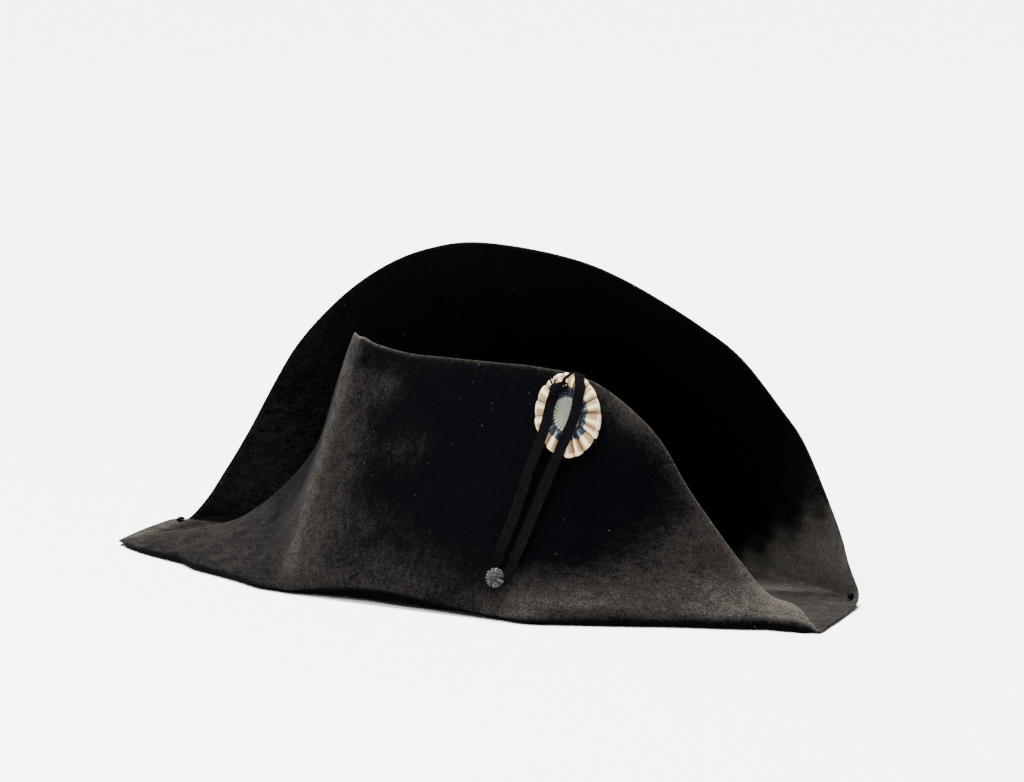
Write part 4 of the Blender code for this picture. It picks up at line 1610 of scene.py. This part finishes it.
@dataclass
class CornerTack:
    """A few stitches of black thread through the felt at the rear end of a corner."""

    node: str
    thread: float
    stitches: int = 5
    spread: float = 0.8
    seed: int = 7
    spacing: float = 0.0004
    finish: ThreadFinish = ThreadFinish("tack_thread", DARK_THREAD, DARK_STRAND)

    def build(self) -> bpy.types.Object:
        """Builds the stitches in the place of the frame's tack.

        Returns:
            The object, linked to the scene.
        """
        low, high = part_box(self.node)
        middle = np.array((low + high) / 2)
        span = np.array(high - low)
        draw = random.Random(self.seed)
        threads = Threads("tack_" + self.node.rsplit("_", 1)[1], self.finish)
        for k in range(self.stitches):
            across = (k / (self.stitches - 1) - 0.5) * span[0] * self.spread
            foot = middle + [across, 0, 0]
            wave = draw.uniform(-0.3, 0.3) * 0.001
            path = [foot + [aside, along * span[1], high * span[2]] for aside, along, high in (
                (wave, -0.45, -0.40), (0, -0.25, 0.05), (-wave, 0.1, 0.12), (0, 0.40, -0.35))]
            threads.add(open_curve(path, self.spacing), self.thread, 0.8)
        return threads.build()


@dataclass
class Studio:
    """Camera at the photograph's angle, soft lights and a white floor."""

    camera_at: tuple = (0.8566, -1.6384, 0.4525)
    azimuth: float = math.radians(27.0)
    elevation: float = math.radians(10.4)
    focal_px: float = 3069.0
    floor_size: float = 60.0
    sky: float = 0.30
    top_from: tuple = (-0.35, 0.32, 2.2)
    top_spread: float = math.radians(28.0)
    top_power: float = 20.0
    front_from: tuple = (-0.82, -1.30, 2.27)
    front_size: float = 0.9
    front_power: float = 66.0
    aimed_at: tuple = (0.0, 0.0, 0.08)
    finish: FloorFinish = FloorFinish()

    def camera(self) -> None:
        """Adds the camera and makes it the scene's own."""
        data = bpy.data.cameras.new("camera")
        data.sensor_width = SENSOR_MM
        data.sensor_fit = "HORIZONTAL"
        data.lens = self.focal_px / IMAGE_WIDTH * SENSOR_MM
        data.clip_start, data.clip_end = 0.05, 100.0
        az, el = self.azimuth, self.elevation
        back = Vector((math.sin(az) * math.cos(el), -math.cos(az) * math.cos(el), math.sin(el)))
        right = Vector((math.cos(az), math.sin(az), 0.0))
        turn = Matrix((right, back.cross(right), back)).transposed().to_4x4()
        thing = bpy.data.objects.new("camera", data)
        thing.matrix_world = Matrix.Translation(self.camera_at) @ turn
        bpy.context.scene.collection.objects.link(thing)
        bpy.context.scene.camera = thing

    def aim(self, data: bpy.types.Light, place: Sequence[float]) -> None:
        """Adds a light that faces the hat.

        Args:
            data: the light.
            place: where it stands.
        """
        thing = bpy.data.objects.new(data.name, data)
        way = Vector(self.aimed_at) - Vector(place)
        turn = way.to_track_quat("-Z", "Y").to_matrix().to_4x4()
        thing.matrix_world = Matrix.Translation(place) @ turn
        bpy.context.scene.collection.objects.link(thing)

    def softbox(self, name: str, place: Sequence[float], size: float, power: float) -> None:
        """Adds a soft square light that faces the hat.

        Args:
            name: the light's name.
            place: where it stands.
            size: its side.
            power: its power in watts.
        """
        data = bpy.data.lights.new(name, "AREA")
        data.energy, data.size = power, size
        self.aim(data, place)

    def canopy(self, name: str, place: Sequence[float], spread: float, power: float) -> None:
        """Adds a wide light that reaches the whole floor alike.

        Args:
            name: the light's name.
            place: the side from which it shines.
            spread: the angle that it fills.
            power: its strength.
        """
        data = bpy.data.lights.new(name, "SUN")
        data.energy, data.angle = power, spread
        self.aim(data, place)

    def build(self) -> None:
        """Sets up floor, lights, world and camera."""
        half = self.floor_size / 2
        corners = np.array([(-half, -half, 0), (half, -half, 0), (half, half, 0), (-half, half, 0)])
        mesh_piece("floor", corners, [(0, 1, 2, 3)], self.finish, {})
        self.canopy("top_light", self.top_from, self.top_spread, self.top_power)
        self.softbox("front_light", self.front_from, self.front_size, self.front_power)
        world = bpy.data.worlds.new("studio")
        world.use_nodes = True
        shade = world.node_tree.nodes["Background"]
        shade.inputs["Color"].default_value = (1.0, 1.0, 1.0, 1.0)
        shade.inputs["Strength"].default_value = self.sky
        bpy.context.scene.world = world
        self.camera()


def settle(piece: bpy.types.Object, slot: str, *nodes: str) -> None:
    """Rides a piece on the hat in the place of frame nodes.

    Args:
        piece: the piece.
        slot: name of a material slot; not used.
        nodes: the frame nodes that it replaces.
    """
    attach(piece, BODY)
    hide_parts(*nodes)
    log.info("%s: %d faces for %s", piece.name, len(piece.data.polygons), ", ".join(nodes))


def main() -> None:
    """Builds and dresses every piece of the hat."""
    logging.basicConfig(level=logging.INFO, format="%(name)s: %(message)s")
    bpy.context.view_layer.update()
    Studio().build()
    felt = FeltBody()
    felt_piece = felt.build()
    settle(felt_piece, "beaver_felt", "felt_body")
    seat = FeltSeat(felt_piece)
    cockade = Cockade().build(seat)
    settle(cockade, "pleated_silk", "cockade")
    seat.stacked.append(FeltSeat.tree_of(cockade))
    tape = LoopTape().build(seat, felt)
    settle(tape, "twill_tape", "loop_tape")
    settle(ThreadButton().build(seat), "wound_thread", "button")
    seat.stacked.append(FeltSeat.tree_of(tape))
    settle(StitchKnot().build(seat), "black_thread", "stitch_knot")
    for node, thread in (("corner_tack_left", 0.00080), ("corner_tack_right", 0.00048)):
        settle(CornerTack(node, thread).build(), "black_thread", node)


if __name__ == "__main__":
    main()
